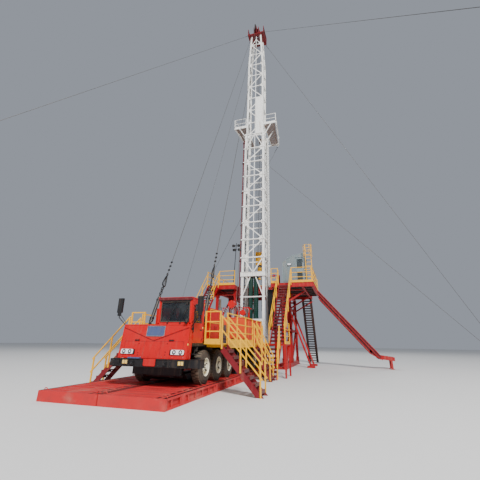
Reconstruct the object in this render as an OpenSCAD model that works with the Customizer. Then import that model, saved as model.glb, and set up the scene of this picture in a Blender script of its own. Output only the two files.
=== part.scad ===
// Carrier-mounted oil drilling rig with its mast raised over the well.
// X runs across the carrier, Y along it from the nose to the rear, Z up from the ground.
// Inside the modules the well centre is at X = 0, Y = 0; place() moves the whole rig so that
// the origin lies under the middle of its bounding box. Sizes are in millimetres.

/* [Drill floor] */
// Height of the working floor above the ground
floor_h = 5950; // [5700:50:6300]
// Floor edge on the side of the stair and the driller's cabin
floor_right = 4640; // [4500:20:5000]
// Floor edge on the far side
floor_left = 3850; // [3700:50:4200]
// Floor edge towards the carrier
floor_front = 2500; // [2400:20:2700]
// Floor edge behind the well
floor_rear = 5200; // [5000:50:5600]
// Half width of the slot that takes the mast
slot_half = 1450; // [1350:10:1460]
// End of the slot, in front of the well
slot_end = 750; // [650:10:850]
// Diameter of the rotary opening
rotary_d = 700; // [500:10:800]
// Depth of the floor girders
girder_h = 560; // [450:10:650]
// Height of the guard rails
guard_h = 1150; // [1000:10:1250]

/* [Carrier] */
// Height of the steel mats
mat_h = 300; // [200:10:350]
// Height of the carrier deck above the ground
deck_h = 1670; // [1650:5:1750]
// Width of the carrier body
body_w = 2660; // [2550:10:2750]
// Distance from the well to the foot of the nose
nose_y = 16030; // [15900:10:16200]
// Height of the hood
hood_h = 2300; // [2200:10:2400]
// Height of the cab roof
cab_h = 3200; // [3100:10:3400]
// Outer diameter of the tyres
tyre_d = 1150; // [1050:10:1160]
// Width of a front tyre
tyre_w = 400; // [340:10:440]
// Distance from the well to the first axle
axle_y = 14400; // [14300:10:14500]
// Spacing of the axles within a group
axle_pitch = 1330; // [1250:10:1400]

/* [Mast] */
// Height of the mast pivot above the ground
pivot_h = 3500; // [3400:10:3600]
// Lean of the mast towards the well, in degrees
lean = 3.5; // [3:0.1:4]
// Width of the lower mast section
lower_w = 1900; // [1800:10:2000]
// Depth of the lower mast section
lower_d = 1360; // [1300:10:1450]
// Length of the lower mast section
lower_l = 17450; // [17000:50:17800]
// Width of the upper mast section
upper_w = 1730; // [1640:10:1770]
// Depth of the upper mast section
upper_d = 1200; // [1140:10:1230]
// Length of the mast from its pivot to the crown
mast_l = 32150; // [31800:50:32600]
// Width of a mast leg
leg_w = 190; // [150:5:220]
// Width of a mast brace
brace_w = 80; // [60:5:110]

/* [Hoist] */
// Diameter of the drilling line
line_d = 29; // [22:1:38]
// Pitch radius of the sheaves
sheave_r = 280; // [240:5:320]
// Height of the hook above the floor
hook_gap = 760; // [600:10:900]

/* [Guy lines] */
// Diameter of a guy line
guy_d = 26; // [20:1:32]
// Distance of the ground anchors to each side of the well
anchor_x = 18300; // [17800:50:18600]
// Distance of the front anchors ahead of the well
anchor_front_y = 25500; // [25000:50:26000]

/* [Hidden] */
$fn = 24;

red = [0.80, 0.10, 0.10];
yellow = [0.93, 0.68, 0.14];
white = [0.93, 0.92, 0.88];
dark = [0.10, 0.10, 0.11];
steel = [0.55, 0.56, 0.58];

// Shared helpers
function along(a, b, t) = a + (b - a) * t / norm(b - a);
function half(v) = v / 2;

// Clearance between a piece and its seat
seat = 0.3;

// Box-section member from a to b: w lies in its vertical plane, h across it
module bar(a, b, w, h) {
    v = b - a;
    translate(a) rotate([0, acos(v[2] / norm(v)), atan2(v[1], v[0])])
        translate([-w / 2, -h / 2, 0]) cube([w, h, norm(v)]);
}

// Round member from a to b
module rod(a, b, d, n = 16) {
    v = b - a;
    translate(a) rotate([0, acos(v[2] / norm(v)), atan2(v[1], v[0])])
        cylinder(h = norm(v), d = d, $fn = n);
}

// Box between two corners
module slab(a, b) {
    translate(a) cube(b - a);
}

module mirrored() {
    children();
    mirror([1, 0, 0]) children();
}

// Hinge knuckle on its own axis: the face it sits on looks along +X, the leaf runs to +Y or -Y
knuckle_d = 24;
knuckle_h = 60;
leaf_l = 50;

module knuckle(leaf) {
    cylinder(h = knuckle_h, d = knuckle_d);
    slab([-knuckle_d / 2, min(0, leaf), 0], [knuckle_d / 2, max(0, leaf), knuckle_h]);
}

// Plan position of the whole rig
anchor_left_y = 10300;
anchor_left_x = 14000;
anchor_right_y = 4600;
anchor_pad = 200;
plan_shift = (anchor_front_y - anchor_left_y) / 2;

module place() {
    translate([0, plan_shift, 0]) children();
}

// Stair flights: each starts at the top edge, runs down towards -Y and is w wide in +X
stringer_t = 40;
stringer_h = 280;
tread_t = 30;
tread_rise = 215;

module flight(w, run, rise) {
    n = round(rise / tread_rise);
    for (x = [0, w - stringer_t])
        translate([x + stringer_t, 0, 0]) rotate([90, 0, -90])
            linear_extrude(stringer_t)
                polygon([[0, 0], [0, -stringer_h],
                         [run * (rise - stringer_h) / rise, -rise], [run, -rise]]);
    for (i = [1 : n - 1])
        slab([stringer_t + seat, -run * i / n - half(run / n), -rise * i / n - tread_t],
             [w - stringer_t - seat, -run * i / n + half(run / n), -rise * i / n]);
}

post_w = 50;
rail_w = 42;

// Handrail beside a flight, posts standing against the stringer's side
module flight_rail(run, rise, posts) {
    s = rise / run;
    for (i = [0 : posts - 1]) {
        y = -post_w - (run - 3 * post_w) * i / (posts - 1);
        slab([0, y - half(post_w), max(y * s - half(stringer_h), -rise)],
             [post_w, y + half(post_w), y * s + guard_h - 150]);
    }
    for (z = [guard_h - 150, guard_h / 2 - 60])
        bar([half(post_w), -half(post_w), z - half(post_w) * s],
            [half(post_w), -run + half(post_w), z - (run - half(post_w)) * s],
            rail_w, rail_w);
}

// Straight guard rail along +X, standing on z = 0
toe_h = 150;
module guard(len, h = guard_h) {
    n = max(1, round(len / 1300));
    for (i = [0 : n])
        slab([(len - post_w) * i / n, 0, 0], [(len - post_w) * i / n + post_w, post_w, h]);
    for (z = [h - half(rail_w), h * 0.66, h * 0.36])
        slab([0, 4, z - half(rail_w)], [len, 4 + rail_w, z + half(rail_w)]);
    slab([0, 8, 0], [len, 20, toe_h]);
}

// Carrier
body_half = body_w / 2;
mat_w = 2180;
mat_gap = 40;
mat_l = 5000;
mat_edge = 1620;
mat_front = -nose_y - 1670;
mat_count = 3;
mat_rim = 60;

module carrier_mats() {
    color(red) place() for (row = [0, 1], i = [0 : mat_count - 1])
        translate([mat_edge - mat_w - row * (mat_w + mat_gap),
                   mat_front + i * (mat_l + mat_gap), 0]) {
            difference() {
                cube([mat_w, mat_l, mat_h]);
                for (side = [-1, mat_w - mat_rim])
                    translate([side, mat_rim * 2, mat_rim])
                        cube([mat_rim + 1, mat_l - mat_rim * 4, mat_h - mat_rim * 2]);
            }
            for (y = [mat_l * 0.22, mat_l * 0.78], x = [0, mat_w - mat_rim])
                translate([x, y - 130, mat_rim]) cube([mat_rim, 260, mat_h - mat_rim * 2]);
        }
}

chassis_y0 = -nose_y + 400;
chassis_y1 = -1150;
chassis_x = 430;
chassis_h = 300;
chassis_z = 1000;
deck_t = 60;
deck_y0 = -12880;
jack_x = 1080;
jack_y = [-3000, -9900];
outrigger_y = -nose_y + 820;
lug_l = 260;
lug_d = 70;

// Eye on the carrier for the guy that comes down from the crown
carrier_eye = [1190, -14520, 2200];
front_slab = 110;

module carrier_frame() {
    color(dark) place() {
        mirrored() {
            slab([chassis_x - 90, chassis_y0, chassis_z],
                 [chassis_x + 90, chassis_y1, chassis_z + chassis_h]);
            for (y = jack_y) {
                slab([chassis_x, y - 120, chassis_z + 40], [jack_x + 110, y + 120, chassis_z + 260]);
                translate([jack_x, y, mat_h + 40])
                    cylinder(h = deck_h - deck_t - mat_h - 20, d = 170);
                translate([jack_x, y, mat_h]) cylinder(h = 60, d = 380);
            }
            slab([body_half - 90, deck_y0, deck_h - deck_t - 120],
                 [body_half, chassis_y1, deck_h - deck_t]);
            slab([carrier_eye[0] - 45, carrier_eye[1] - 45, arch_z - front_slab / 2],
                 [carrier_eye[0] + 45, carrier_eye[1] + 45, carrier_eye[2] + 40]);
        }
        slab([-body_half, deck_y0, deck_h - deck_t], [body_half, chassis_y1, deck_h]);
        slab([-body_half, arch_y + 10, arch_z - front_slab], [body_half, deck_y0, arch_z]);
        for (y = [-15300, -13700, -12400, -10500, -8600, -6500, -5200, -2600, -1250])
            slab([-chassis_x, y - 60, chassis_z + 30], [chassis_x, y + 60, chassis_z + 270]);
        slab([-body_half - 120, outrigger_y - 110, chassis_z - 20],
             [body_half + 120, outrigger_y + 110, chassis_z + 220]);
        for (y = [-10000, -8000, -3500])
            slab([-body_half + 20, y - 60, chassis_z + chassis_h - 30],
                 [body_half - 20, y + 60, deck_h - deck_t / 2]);
        for (s = [-1, 1]) {
            e = [s * carrier_eye[0], carrier_eye[1], carrier_eye[2]];
            rod(e, along(e, crown_side_eye(s), lug_l), lug_d, 8);
        }
    }
}

axle_list = [for (i = [0 : 2]) -axle_y + i * axle_pitch,
             for (i = [0 : 2]) -7200 + i * axle_pitch];
wheel_z = mat_h + tyre_d / 2 + seat;
track = body_w + 100;
hub_d = 300;
rim_d = 620;

module axles() {
    color(dark) place() for (y = axle_list) {
        translate([-track / 2 + tyre_w, y, wheel_z]) rotate([0, 90, 0])
            cylinder(h = track - 2 * tyre_w, d = 160);
        translate([-330, y, wheel_z]) rotate([0, 90, 0]) cylinder(h = 300, d = 400);
        mirrored() translate([chassis_x, y, wheel_z])
            cylinder(h = chassis_z - wheel_z, d = 140);
    }
}

module tyre_shape(w) {
    r = tyre_d / 2;
    rotate_extrude($fn = 48)
        polygon([[rim_d / 2, 0], [r * 0.75, 0], [r * 0.93, w * 0.08], [r, w * 0.2],
                 [r, w * 0.8], [r * 0.93, w * 0.92], [r * 0.75, w], [rim_d / 2, w]]);
}

module tyres() {
    color([0.16, 0.14, 0.13]) place() for (y = axle_list) mirrored()
        translate([track / 2 - tyre_w, y, wheel_z]) rotate([0, 90, 0]) tyre_shape(tyre_w);
}

module wheel_rims() {
    color([0.93, 0.90, 0.78]) place() for (y = axle_list) mirrored()
        translate([track / 2 - tyre_w, y, wheel_z]) rotate([0, 90, 0]) difference() {
            union() {
                cylinder(h = tyre_w - 20, d = rim_d - 2 * seat, $fn = 48);
                cylinder(h = tyre_w + 40, d = hub_d * 0.6, $fn = 32);
            }
            translate([0, 0, tyre_w - 150]) difference() {
                cylinder(h = 200, d = rim_d - 50, $fn = 48);
                cylinder(h = 200, d = hub_d, $fn = 32);
            }
        }
}

bumper_z = 930;
bumper_h = 250;
nose_bottom = 1190;
nose_lean = 160;

module front_bumper() {
    color(dark) place() {
        slab([-body_half - 130, -nose_y - 90, bumper_z],
             [body_half + 20, -nose_y + 60, bumper_z + bumper_h]);
        mirrored() slab([chassis_x - 90, -nose_y + 60, chassis_z],
                        [chassis_x + 90, chassis_y0, chassis_z + 170]);
        mirrored() slab([body_half - 170, -nose_y - 120, bumper_z + 100],
                        [body_half + 10, -nose_y - 90, bumper_z + 200]);
        slab([-190, -nose_y - 115, bumper_z + 60], [250, -nose_y - 90, bumper_z + 250]);
    }
}

cab_x0 = 10;
cab_y0 = -nose_y + 190;
cab_y1 = -14750;
arch_z = deck_h + 30;
cab_z0 = arch_z;
wall_t = 50;
arch_y = -nose_y + 380;

// Nose: raked front panel over the full width, hood box beside the cab
module front_body() {
    color(red) place() difference() {
        translate([-body_half, 0, 0]) rotate([90, 0, 90]) linear_extrude(body_w)
            polygon([[-nose_y, nose_bottom], [-nose_y + nose_lean, hood_h],
                     [cab_y1, hood_h], [cab_y1, arch_z], [arch_y, arch_z],
                     [arch_y - 70, nose_bottom]]);
        slab([cab_x0 - seat, cab_y0 - seat, cab_z0], [body_half + 1, cab_y1 + 1, cab_h]);
    }
}

door_y0 = cab_y0 + 200;
door_y1 = cab_y1 - 90;
door_z0 = cab_z0 + 40;
door_z1 = cab_h - 110;
sill_z = hood_h + 90;

// Cab on the left half of the nose, open for the windscreen, side windows and door
module cab() {
    color(red) place() {
        difference() {
            slab([cab_x0, cab_y0, cab_z0], [body_half, cab_y1, cab_h]);
            slab([cab_x0 + wall_t, cab_y0 + wall_t, cab_z0 + wall_t],
                 [body_half - wall_t, cab_y1 - wall_t, cab_h - wall_t]);
            slab([cab_x0 + 110, cab_y0 - 1, sill_z], [body_half - 90, cab_y0 + wall_t + 1, cab_h - 130]);
            slab([cab_x0 - 1, cab_y0 + 130, sill_z], [cab_x0 + wall_t + 1, cab_y1 - 130, cab_h - 130]);
            slab([cab_x0 + 130, cab_y1 - wall_t - 1, sill_z], [body_half - 130, cab_y1 + 1, cab_h - 130]);
            slab([body_half - wall_t - 1, door_y0, door_z0], [body_half + 1, door_y1, door_z1]);
        }
        slab([cab_x0 - 30, cab_y0 - 40, cab_h], [body_half + 20, cab_y1 + 20, cab_h + 35]);
        for (z = cab_hinge_z) translate([body_half + knuckle_d / 2, door_y0, z - knuckle_h - seat])
            knuckle(-leaf_l);
    }
}

gap = 6;
cab_hinge_z = [door_z0 + 150, door_z1 - 250];

module cab_door() {
    color(red) place() {
        difference() {
            slab([body_half - 45, door_y0 + gap, door_z0 + gap], [body_half, door_y1 - gap, door_z1 - gap]);
            slab([body_half - 60, door_y0 + 90, sill_z], [body_half + 1, door_y1 - 90, door_z1 - 80]);
        }
        for (z = cab_hinge_z) translate([body_half + knuckle_d / 2, door_y0, z]) knuckle(leaf_l);
    }
}

glass_t = 10;
cabin_x0 = 2180;
cabin_x1 = 3900;
cabin_y0 = -1150;
cabin_y1 = 1700;
cabin_h = 2580;
cabin_wall = 60;
cabin_cut = 850;
cabin_knee = 2430;
cabin_low = 1930;
cabin_sill = 950;
cabin_head = cabin_low - 160;

module window_glass() {
    color([0.25, 0.30, 0.33]) place() {
        slab([cab_x0 + 110, cab_y0 + 20, sill_z], [body_half - 90, cab_y0 + 20 + glass_t, cab_h - 130]);
        slab([cab_x0 + 20, cab_y0 + 130, sill_z], [cab_x0 + 20 + glass_t, cab_y1 - 130, cab_h - 130]);
        slab([cab_x0 + 130, cab_y1 - 30, sill_z], [body_half - 130, cab_y1 - 30 + glass_t, cab_h - 130]);
        translate([cabin_x0 + 25, cabin_y0 + 200, floor_h + cabin_sill])
            cube([glass_t, cabin_y1 - cabin_y0 - 400, cabin_head - cabin_sill]);
    }
}

lamp_w = 540;
lamp_h = 150;
// Face of the nose at height z
function nose_face(z) = -nose_y + nose_lean * (z - nose_bottom) / (hood_h - nose_bottom);

module headlamps() {
    z = nose_bottom + 130;
    color(steel) place() mirrored()
        translate([body_half - 640, 0, 0]) rotate([90, 0, 90]) linear_extrude(lamp_w)
            polygon([[nose_face(z) - seat, z], [nose_face(z + lamp_h) - seat, z + lamp_h],
                     [nose_face(z + lamp_h) - 25, z + lamp_h], [nose_face(z) - 25, z]]);
}

module mirrors() {
    color(dark) place() mirrored() intersection() {
        union() {
            rod([body_half - 60, -nose_y + 280, hood_h - 120],
                [body_half + 300, -nose_y + 160, hood_h + 240], 36);
            rod([body_half + 300, -nose_y + 160, hood_h + 220],
                [body_half + 330, -nose_y + 160, hood_h + 440], 36);
            slab([body_half + 230, -nose_y + 140, hood_h + 420],
                 [body_half + 430, -nose_y + 230, hood_h + 950]);
        }
        slab([body_half, -nose_y, nose_bottom], [body_half * 2, cab_y1, cab_h + 400]);
    }
}

cabinet_y0 = -14120;
cabinet_y1 = -12900;
cabinet_top = 3030;

module side_cabinet() {
    color(red) place() {
        slab([-body_half + 60, cabinet_y0 - 280, arch_z], [body_half, cabinet_y1, arch_z + 90]);
        slab([-body_half + 200, cabinet_y0, arch_z + 90], [body_half - 40, cabinet_y1, cabinet_top]);
        slab([body_half - 40, cabinet_y0 + 60, deck_h + 160],
             [body_half - 15, cabinet_y1 - 60, cabinet_top - 60]);
    }
}

engine_y0 = -12700;
engine_y1 = -9200;
module engine_housing() {
    color(steel) place() {
        slab([-700, engine_y0, deck_h], [700, engine_y1, deck_h + 180]);
        slab([-480, engine_y0 + 150, deck_h + 180], [480, engine_y1 - 500, deck_h + 900]);
        translate([-560, engine_y0 + 1700, deck_h + 180]) cylinder(h = 1500, d = 180);
        translate([560, engine_y0 + 1700, deck_h + 180]) cylinder(h = 1500, d = 180);
    }
}

works_y0 = -8850;
works_y1 = -5250;
works_top = 3000;
drum_y = -6500;
drum_z = 2620;
drum_r = 300;
works_t = 60;

module drawworks_frame() {
    color(red) place() {
        slab([-1150, works_y0, deck_h], [1250, works_y1, deck_h + 140]);
        for (x = [-1150, 1250 - works_t])
            slab([x, works_y0, deck_h + 140], [x + works_t, works_y1, works_top]);
        slab([-1150 + works_t, works_y0, deck_h + 140], [1250 - works_t, works_y0 + 1500, works_top]);
    }
}

module drawworks_drum() {
    color(steel) place() translate([-1150 + works_t, drum_y, drum_z]) rotate([0, 90, 0]) {
        cylinder(h = 2400 - 2 * works_t, d = 180);
        translate([0, 0, 350]) cylinder(h = 1600, r = drum_r, $fn = 48);
        for (z = [350, 1950]) translate([0, 0, z - 30]) cylinder(h = 60, r = drum_r + 220, $fn = 48);
    }
}

walk_w = 670;
walk_y0 = -14620;
walk_y1 = -6500;
ladder_y = -9850;
landing_y = -8000;
walk_x1 = body_half + walk_w;
walk_z = deck_h + 30;
walk_t = 45;

module carrier_walkway() {
    color(yellow) place() {
        slab([body_half, walk_y0, walk_z - walk_t], [walk_x1, walk_y1, walk_z]);
        slab([walk_x1 - 12, -13850, walk_z - 180], [walk_x1, walk_y1, walk_z - walk_t]);
        for (y = [-14300, -12600, -10900, -9200])
            slab([body_half, y - 30, walk_z - 150], [walk_x1 - 12, y + 30, walk_z - walk_t]);
    }
}

stair_w = 700;
side_run = 1600;
side_y = -14600;
ladder_run = 930;

module walkway_rails() {
    y0 = side_y + stair_w + post_w + 10;
    y2 = ladder_y + stair_w + post_w + 10;
    color(yellow) place() {
        translate([walk_x1, y0, walk_z]) rotate([0, 0, 90]) guard(ladder_y - post_w - 10 - y0);
        translate([walk_x1, y2, walk_z]) rotate([0, 0, 90]) guard(landing_y - 20 - y2);
        translate([body_half + 10, walk_y0, walk_z]) guard(walk_w - 20);
    }
}

// Turns a flight so that it runs down towards +X from the walkway's edge
module from_walkway(y) {
    translate([walk_x1, y, walk_z]) rotate([0, 0, 90]) children();
}

module side_stair() {
    color(red) place() {
        from_walkway(side_y) flight(stair_w, side_run, walk_z);
        from_walkway(ladder_y) flight(stair_w, ladder_run, walk_z);
    }
}

module side_stair_rails() {
    color(yellow) place() for (y = [-post_w, stair_w]) {
        from_walkway(side_y + y) flight_rail(side_run, walk_z, 3);
        from_walkway(ladder_y + y) flight_rail(ladder_run, walk_z, 3);
    }
}

// Mast
mast_y = -2589;
lower_off = (lower_w - upper_w) / 2;
function mast_pt(p) = [p[0], mast_y + p[1] * cos(lean) + p[2] * sin(lean),
                       pivot_h - p[1] * sin(lean) + p[2] * cos(lean)];
module mast_place() {
    place() translate([0, mast_y, pivot_h]) rotate([-lean, 0, 0]) children();
}

base_z = 3250;
first_bay = 1400;
panel_z0 = lower_l - 160;
panel_z1 = panel_z0 + 4960;
ram_x = 215;
ram_y = 240;
ram_d = 330;
bay = 1570;
lower_nodes = [base_z, for (i = [0 : 7]) base_z + first_bay + bay * i, lower_l - 60];
upper_z0 = lower_l - 1750;
upper_bay = 1680;
top_half = 620;
upper_nodes = [for (i = [0 : 8]) lower_l - 200 + upper_bay * i];
taper_z = upper_nodes[6];

leg_t = 25;

// Angle-section leg: corner at the origin, opening towards +X and +Y
module angle_leg(l) {
    cube([leg_w, leg_t, l]);
    cube([leg_t, leg_w, l]);
}

base_beam_h = 340;
face_y = 32;
face_t = 50;
inset = 3;
mullion_t = 36;
knee_z = 1500;

// Feet that carry the mast from the carrier's rear, cut level with the deck
module mast_base() {
    color(white) intersection() {
        union() {
            mast_place() mirrored() for (y = [0, lower_d - leg_w])
                slab([lower_w / 2 - leg_w, y, -pivot_h], [lower_w / 2, y + leg_w, 0]);
            mast_place() mirrored() slab([lower_w / 2 - leg_w + 40, 0, -1300],
                                         [lower_w / 2 - 40, lower_d, -1180]);
            mast_place() for (y = [0, lower_d - 60], z = [-300, -1300])
                slab([-lower_w / 2, y, z], [lower_w / 2, y + 60, z + 160]);
        }
        place() slab([-lower_w, -nose_y, deck_h], [lower_w, nose_y, pivot_h * 2]);
    }
}

// Thickness of a brace on side s, a little different so that crossing faces never coincide
function brace_t(s) = face_t - (s > 0 ? 2 : 4) * inset;

// Braces that cross the face from side to side, one in each bay
module zigzag(nodes, x, y) {
    for (i = [0 : len(nodes) - 2])
        bar([(i % 2 == 0 ? -x : x), y, nodes[i]], [(i % 2 == 0 ? x : -x), y, nodes[i + 1]],
            brace_w, face_t - 2 * inset);
}

module mast_lower_front() {
    x = lower_w / 2;
    xb = x - leg_w / 2;
    color(white) mast_place() {
        mirrored() translate([-x, 0, 0]) angle_leg(lower_l);
        for (z = lower_nodes)
            slab([-x + inset, 7, z - brace_w / 2], [x - inset, 7 + face_t, z + brace_w / 2]);
        slab([-x - 60, -60, base_z - base_beam_h / 2], [x + 60, 20, base_z + base_beam_h / 2]);
        slab([-ram_x - ram_d, 0, base_z - base_beam_h / 2], [ram_x + ram_d, ram_y + ram_d, base_z - 110]);
        slab([-x - 60, leg_t, knee_z - 40], [x + 60, leg_t + 35, knee_z + 40]);
        zigzag([for (i = [1 : 8]) lower_nodes[i]], xb, face_y);
        for (s = [-1, 1]) {
            bar([s * xb, face_y, base_z + first_bay], [s * 25, face_y, base_z + 190],
                brace_w, brace_t(s));
            bar([s * xb, face_y, lower_nodes[8]], [s * 25, face_y, lower_l - 110],
                brace_w, brace_t(s));
            bar([s * xb, face_y, knee_z], [s * 200, face_y, base_z - 140],
                brace_w, brace_t(s));
        }
        slab([-30, face_y - mullion_t / 2, base_z], [30, face_y + mullion_t / 2, lower_l - 60]);
    }
}

// Side of the lower section, on +X: rear leg and the braces between it and the front leg
module lower_side() {
    x = lower_w / 2;
    y0 = 7 + face_t + seat;
    translate([x, lower_d, 0]) rotate([0, 0, 180]) angle_leg(lower_l);
    for (z = lower_nodes)
        slab([x - leg_t - face_t, y0, z - brace_w / 2], [x - leg_t, lower_d - leg_t, z + brace_w / 2]);
    intersection() {
        slab([0, y0 + inset, 0], [lower_w, lower_d - leg_t - inset, lower_l]);
        for (i = [0 : len(lower_nodes) - 2]) {
            y_low = i % 2 == 0 ? lower_d - 60 : 60;
            bar([x - leg_t - face_t / 2, y_low, lower_nodes[i]],
                [x - leg_t - face_t / 2, lower_d - y_low, lower_nodes[i + 1]],
                brace_w, face_t - 2 * inset);
        }
    }
}

module mast_lower_left() {
    color(white) mast_place() mirror([1, 0, 0]) lower_side();
}

module mast_lower_right() {
    color(white) mast_place() lower_side();
}

upper_y = 75;
upper_leg = 170;

// Leg of the upper section on side s: straight, then drawn in towards the crown
module upper_leg_bar(s, y) {
    x = upper_w / 2;
    translate([0, y + upper_leg, 0]) rotate([90, 0, 0]) linear_extrude(upper_leg)
        polygon([[s * (x - upper_leg), upper_z0], [s * x, upper_z0], [s * x, taper_z],
                 [s * top_half, mast_l], [s * (top_half - upper_leg), mast_l],
                 [s * (x - upper_leg), taper_z]]);
    z = y < upper_d / 2 ? lower_nodes[8] + 300 : lower_nodes[9] - 500;
    slab([s > 0 ? x - 5 : -lower_w / 2 + leg_t, y + 30, z],
         [s > 0 ? lower_w / 2 - leg_t : -x + 5, y + upper_leg - 30, z + 200]);
}

module mast_upper_front() {
    color(white) mast_place() {
        for (s = [-1, 1]) upper_leg_bar(s, upper_y);
        for (z = upper_nodes)
            slab([-face_half(z), upper_y + 60, z - brace_w / 2],
                 [face_half(z), upper_y + 60 + face_t, z + brace_w / 2]);
        for (i = [0 : len(upper_nodes) - 2]) {
            s = i % 2 == 0 ? -1 : 1;
            bar([s * (face_half(upper_nodes[i]) + 20), upper_y + 85, upper_nodes[i]],
                [-s * (face_half(upper_nodes[i + 1]) + 20), upper_y + 85, upper_nodes[i + 1]],
                brace_w, face_t - 2 * inset);
        }
        for (s = [-1, 1])
            bar([s * face_half(upper_nodes[8]), upper_y + 85, upper_nodes[8]],
                [s * 25, upper_y + 85, mast_l - 600], brace_w, brace_t(s));
        slab([-30, upper_y + 85 - mullion_t / 2, upper_nodes[0]],
             [30, upper_y + 85 + mullion_t / 2, mast_l - 20]);
        slab([60, upper_y + 5, panel_z0], [upper_w / 2 - upper_leg + 5, upper_y + 55, panel_z1]);
        slab([60, upper_y + 50, panel_z0], [150, upper_y + 62, panel_z1]);
    }
}

// Inner half width of the upper section at height z
function face_half(z) = (z < taper_z ? upper_w / 2
    : upper_w / 2 + (top_half - upper_w / 2) * (z - taper_z) / (mast_l - taper_z)) - upper_leg + 10;

module upper_side() {
    y = upper_y + upper_d - upper_leg;
    upper_leg_bar(1, y);
    intersection() {
        slab([0, upper_y + upper_leg, upper_z0], [lower_w, y + 10, mast_l]);
        for (i = [0 : len(upper_nodes) - 1]) {
            z = upper_nodes[i];
            x = face_half(z) + upper_leg / 2;
            slab([x - 40, 0, z - brace_w / 2], [x + 40, y + 100, z + brace_w / 2]);
            if (i < len(upper_nodes) - 1)
                bar([x, i % 2 == 0 ? y + 20 : upper_y + upper_leg - 20, z],
                    [face_half(upper_nodes[i + 1]) + upper_leg / 2,
                     i % 2 == 0 ? upper_y + upper_leg - 20 : y + 20, upper_nodes[i + 1]],
                    brace_w, brace_w * 0.8);
        }
    }
}

module mast_upper_left() {
    color(white) mast_place() mirror([1, 0, 0]) upper_side();
}

module mast_upper_right() {
    color(white) mast_place() upper_side();
}

// Crown
crown_t = 160;
crown_over = 260;
crown_z = mast_l + crown_t;
sheave_z = round(pivot_h + mast_l * cos(lean)) + 1310;
sheave_pitch = 150;
sheave_t = 96;
sheave_list = [-sheave_pitch, 0, sheave_pitch];
cheek_x = 250;
cheek_t = 45;
fast_r = drum_r + line_d / 2 + seat;
fast_y = -760;
fast_z = sheave_z - 150;

// Eyes at the crown's corners: s is the side, e is -1 in front and 1 behind
function crown_eye(s, e) = mast_pt([s * 760, e < 0 ? upper_y - crown_over + 60
    : upper_y + upper_d + crown_over - 60, mast_l + crown_t / 2]);

// Eyes in the crown's front edge for the guys that come down to the carrier
function crown_side_eye(s) = mast_pt([s * 420, upper_y - crown_over + 60, mast_l + crown_t / 2]);

// Grooved sheave about the X axis: rope radius r, thickness t
module sheave(r, t) {
    f = r + 38;
    g = line_d / 2 + 3;
    b = r - line_d / 2 - seat;
    rotate([0, 90, 0]) translate([0, 0, -t / 2]) rotate_extrude($fn = 48)
        polygon([[60, 0], [f, 0], [f, t / 2 - g - 8], [b, t / 2 - g], [b, t / 2 + g],
                 [f, t / 2 + g + 8], [f, t], [60, t]]);
}

module crown_frame() {
    x = 950;
    y0 = upper_y - crown_over;
    y1 = upper_y + upper_d + crown_over;
    color(red) {
        mast_place() {
            difference() {
                slab([-x, y0, mast_l], [x, y1, crown_z]);
                slab([-cheek_x - cheek_t - 60, upper_y + 40, mast_l - 1],
                     [cheek_x + cheek_t + 60, upper_y + upper_d - 100, crown_z + 1]);
            }
            translate([-x, y1 - post_w, crown_z]) guard(2 * x, 1000);
            for (s = [-x + post_w, x])
                translate([s, y0 + 10, crown_z]) rotate([0, 0, 90]) guard(y1 - y0 - 70, 1000);
        }
        place() {
            for (s = [-1, 1]) intersection() {
                slab([s > 0 ? cheek_x : -cheek_x - cheek_t, -560, sheave_z - 2900],
                     [s > 0 ? cheek_x + cheek_t : -cheek_x, 600, sheave_z + 180]);
                translate([0, mast_y, pivot_h]) rotate([-lean, 0, 0])
                    slab([-x, y0, mast_l + 20], [x, y1, mast_l + 3000]);
            }
            for (s = [-1, 1])
                slab([s > 0 ? 75 : -110, fast_y - 120, fast_z - 1000 + 40],
                     [s > 0 ? 110 : -75, -420, fast_z + 120]);
            slab([-cheek_x - 10, -430, fast_z - 900], [cheek_x + 10, -330, fast_z - 700]);
        }
        place() for (s = [-1, 1]) {
            rod(crown_eye(s, -1), along(crown_eye(s, -1), front_anchor(s), lug_l), lug_d, 8);
            rod(crown_side_eye(s), along(crown_side_eye(s), side_eye(s), lug_l), lug_d, 8);
            rod(crown_eye(s, 1), along(crown_eye(s, 1), rear_anchor(s), lug_l), lug_d, 8);
        }
    }
}

module crown_sheaves() {
    color(steel) place() {
        translate([0, 0, sheave_z]) {
            for (x = sheave_list) translate([x, 0, 0]) sheave(sheave_r, sheave_t);
            rotate([0, 90, 0]) translate([0, 0, -cheek_x]) cylinder(h = 2 * cheek_x, d = 140);
        }
        translate([0, fast_y, fast_z]) {
            sheave(fast_r, sheave_t);
            rotate([0, 90, 0]) translate([0, 0, -75]) cylinder(h = 150, d = 130);
        }
    }
}

// Racking board, level on both sides of the mast
board_z = 21800;
board_h = 130;
board_y0 = -1450;
board_y1 = 2520;
board_x0 = 2150;
board_x1 = 1760;
board_in = upper_w / 2;
slat_w = 90;
slat_pitch = 132;

// Outer edge of the board at depth y
function board_edge(y) = board_x0 + (board_x1 - board_x0) * (y - board_y0) / (board_y1 - board_y0);

module racking_board() {
    n = floor((board_x0 - 100 - board_in) / slat_pitch);
    y0 = board_y0 + 80;
    y1 = board_y1 - 80;
    color([0.42, 0.30, 0.22]) place() {
        mirrored() intersection() {
            for (i = [0 : n])
                slab([board_in + 90 + i * slat_pitch, y0, board_z],
                     [board_in + 90 + i * slat_pitch + slat_w, y1, board_z + 45]);
            translate([0, 0, board_z]) linear_extrude(45)
                polygon([[board_in, y0], [board_edge(y0) - 130, y0],
                         [board_edge(y1) - 130, y1], [board_in, y1]]);
        }
        slab([-260, 900, board_z], [260, board_y1 - 80, board_z + 45]);
    }
}

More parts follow.
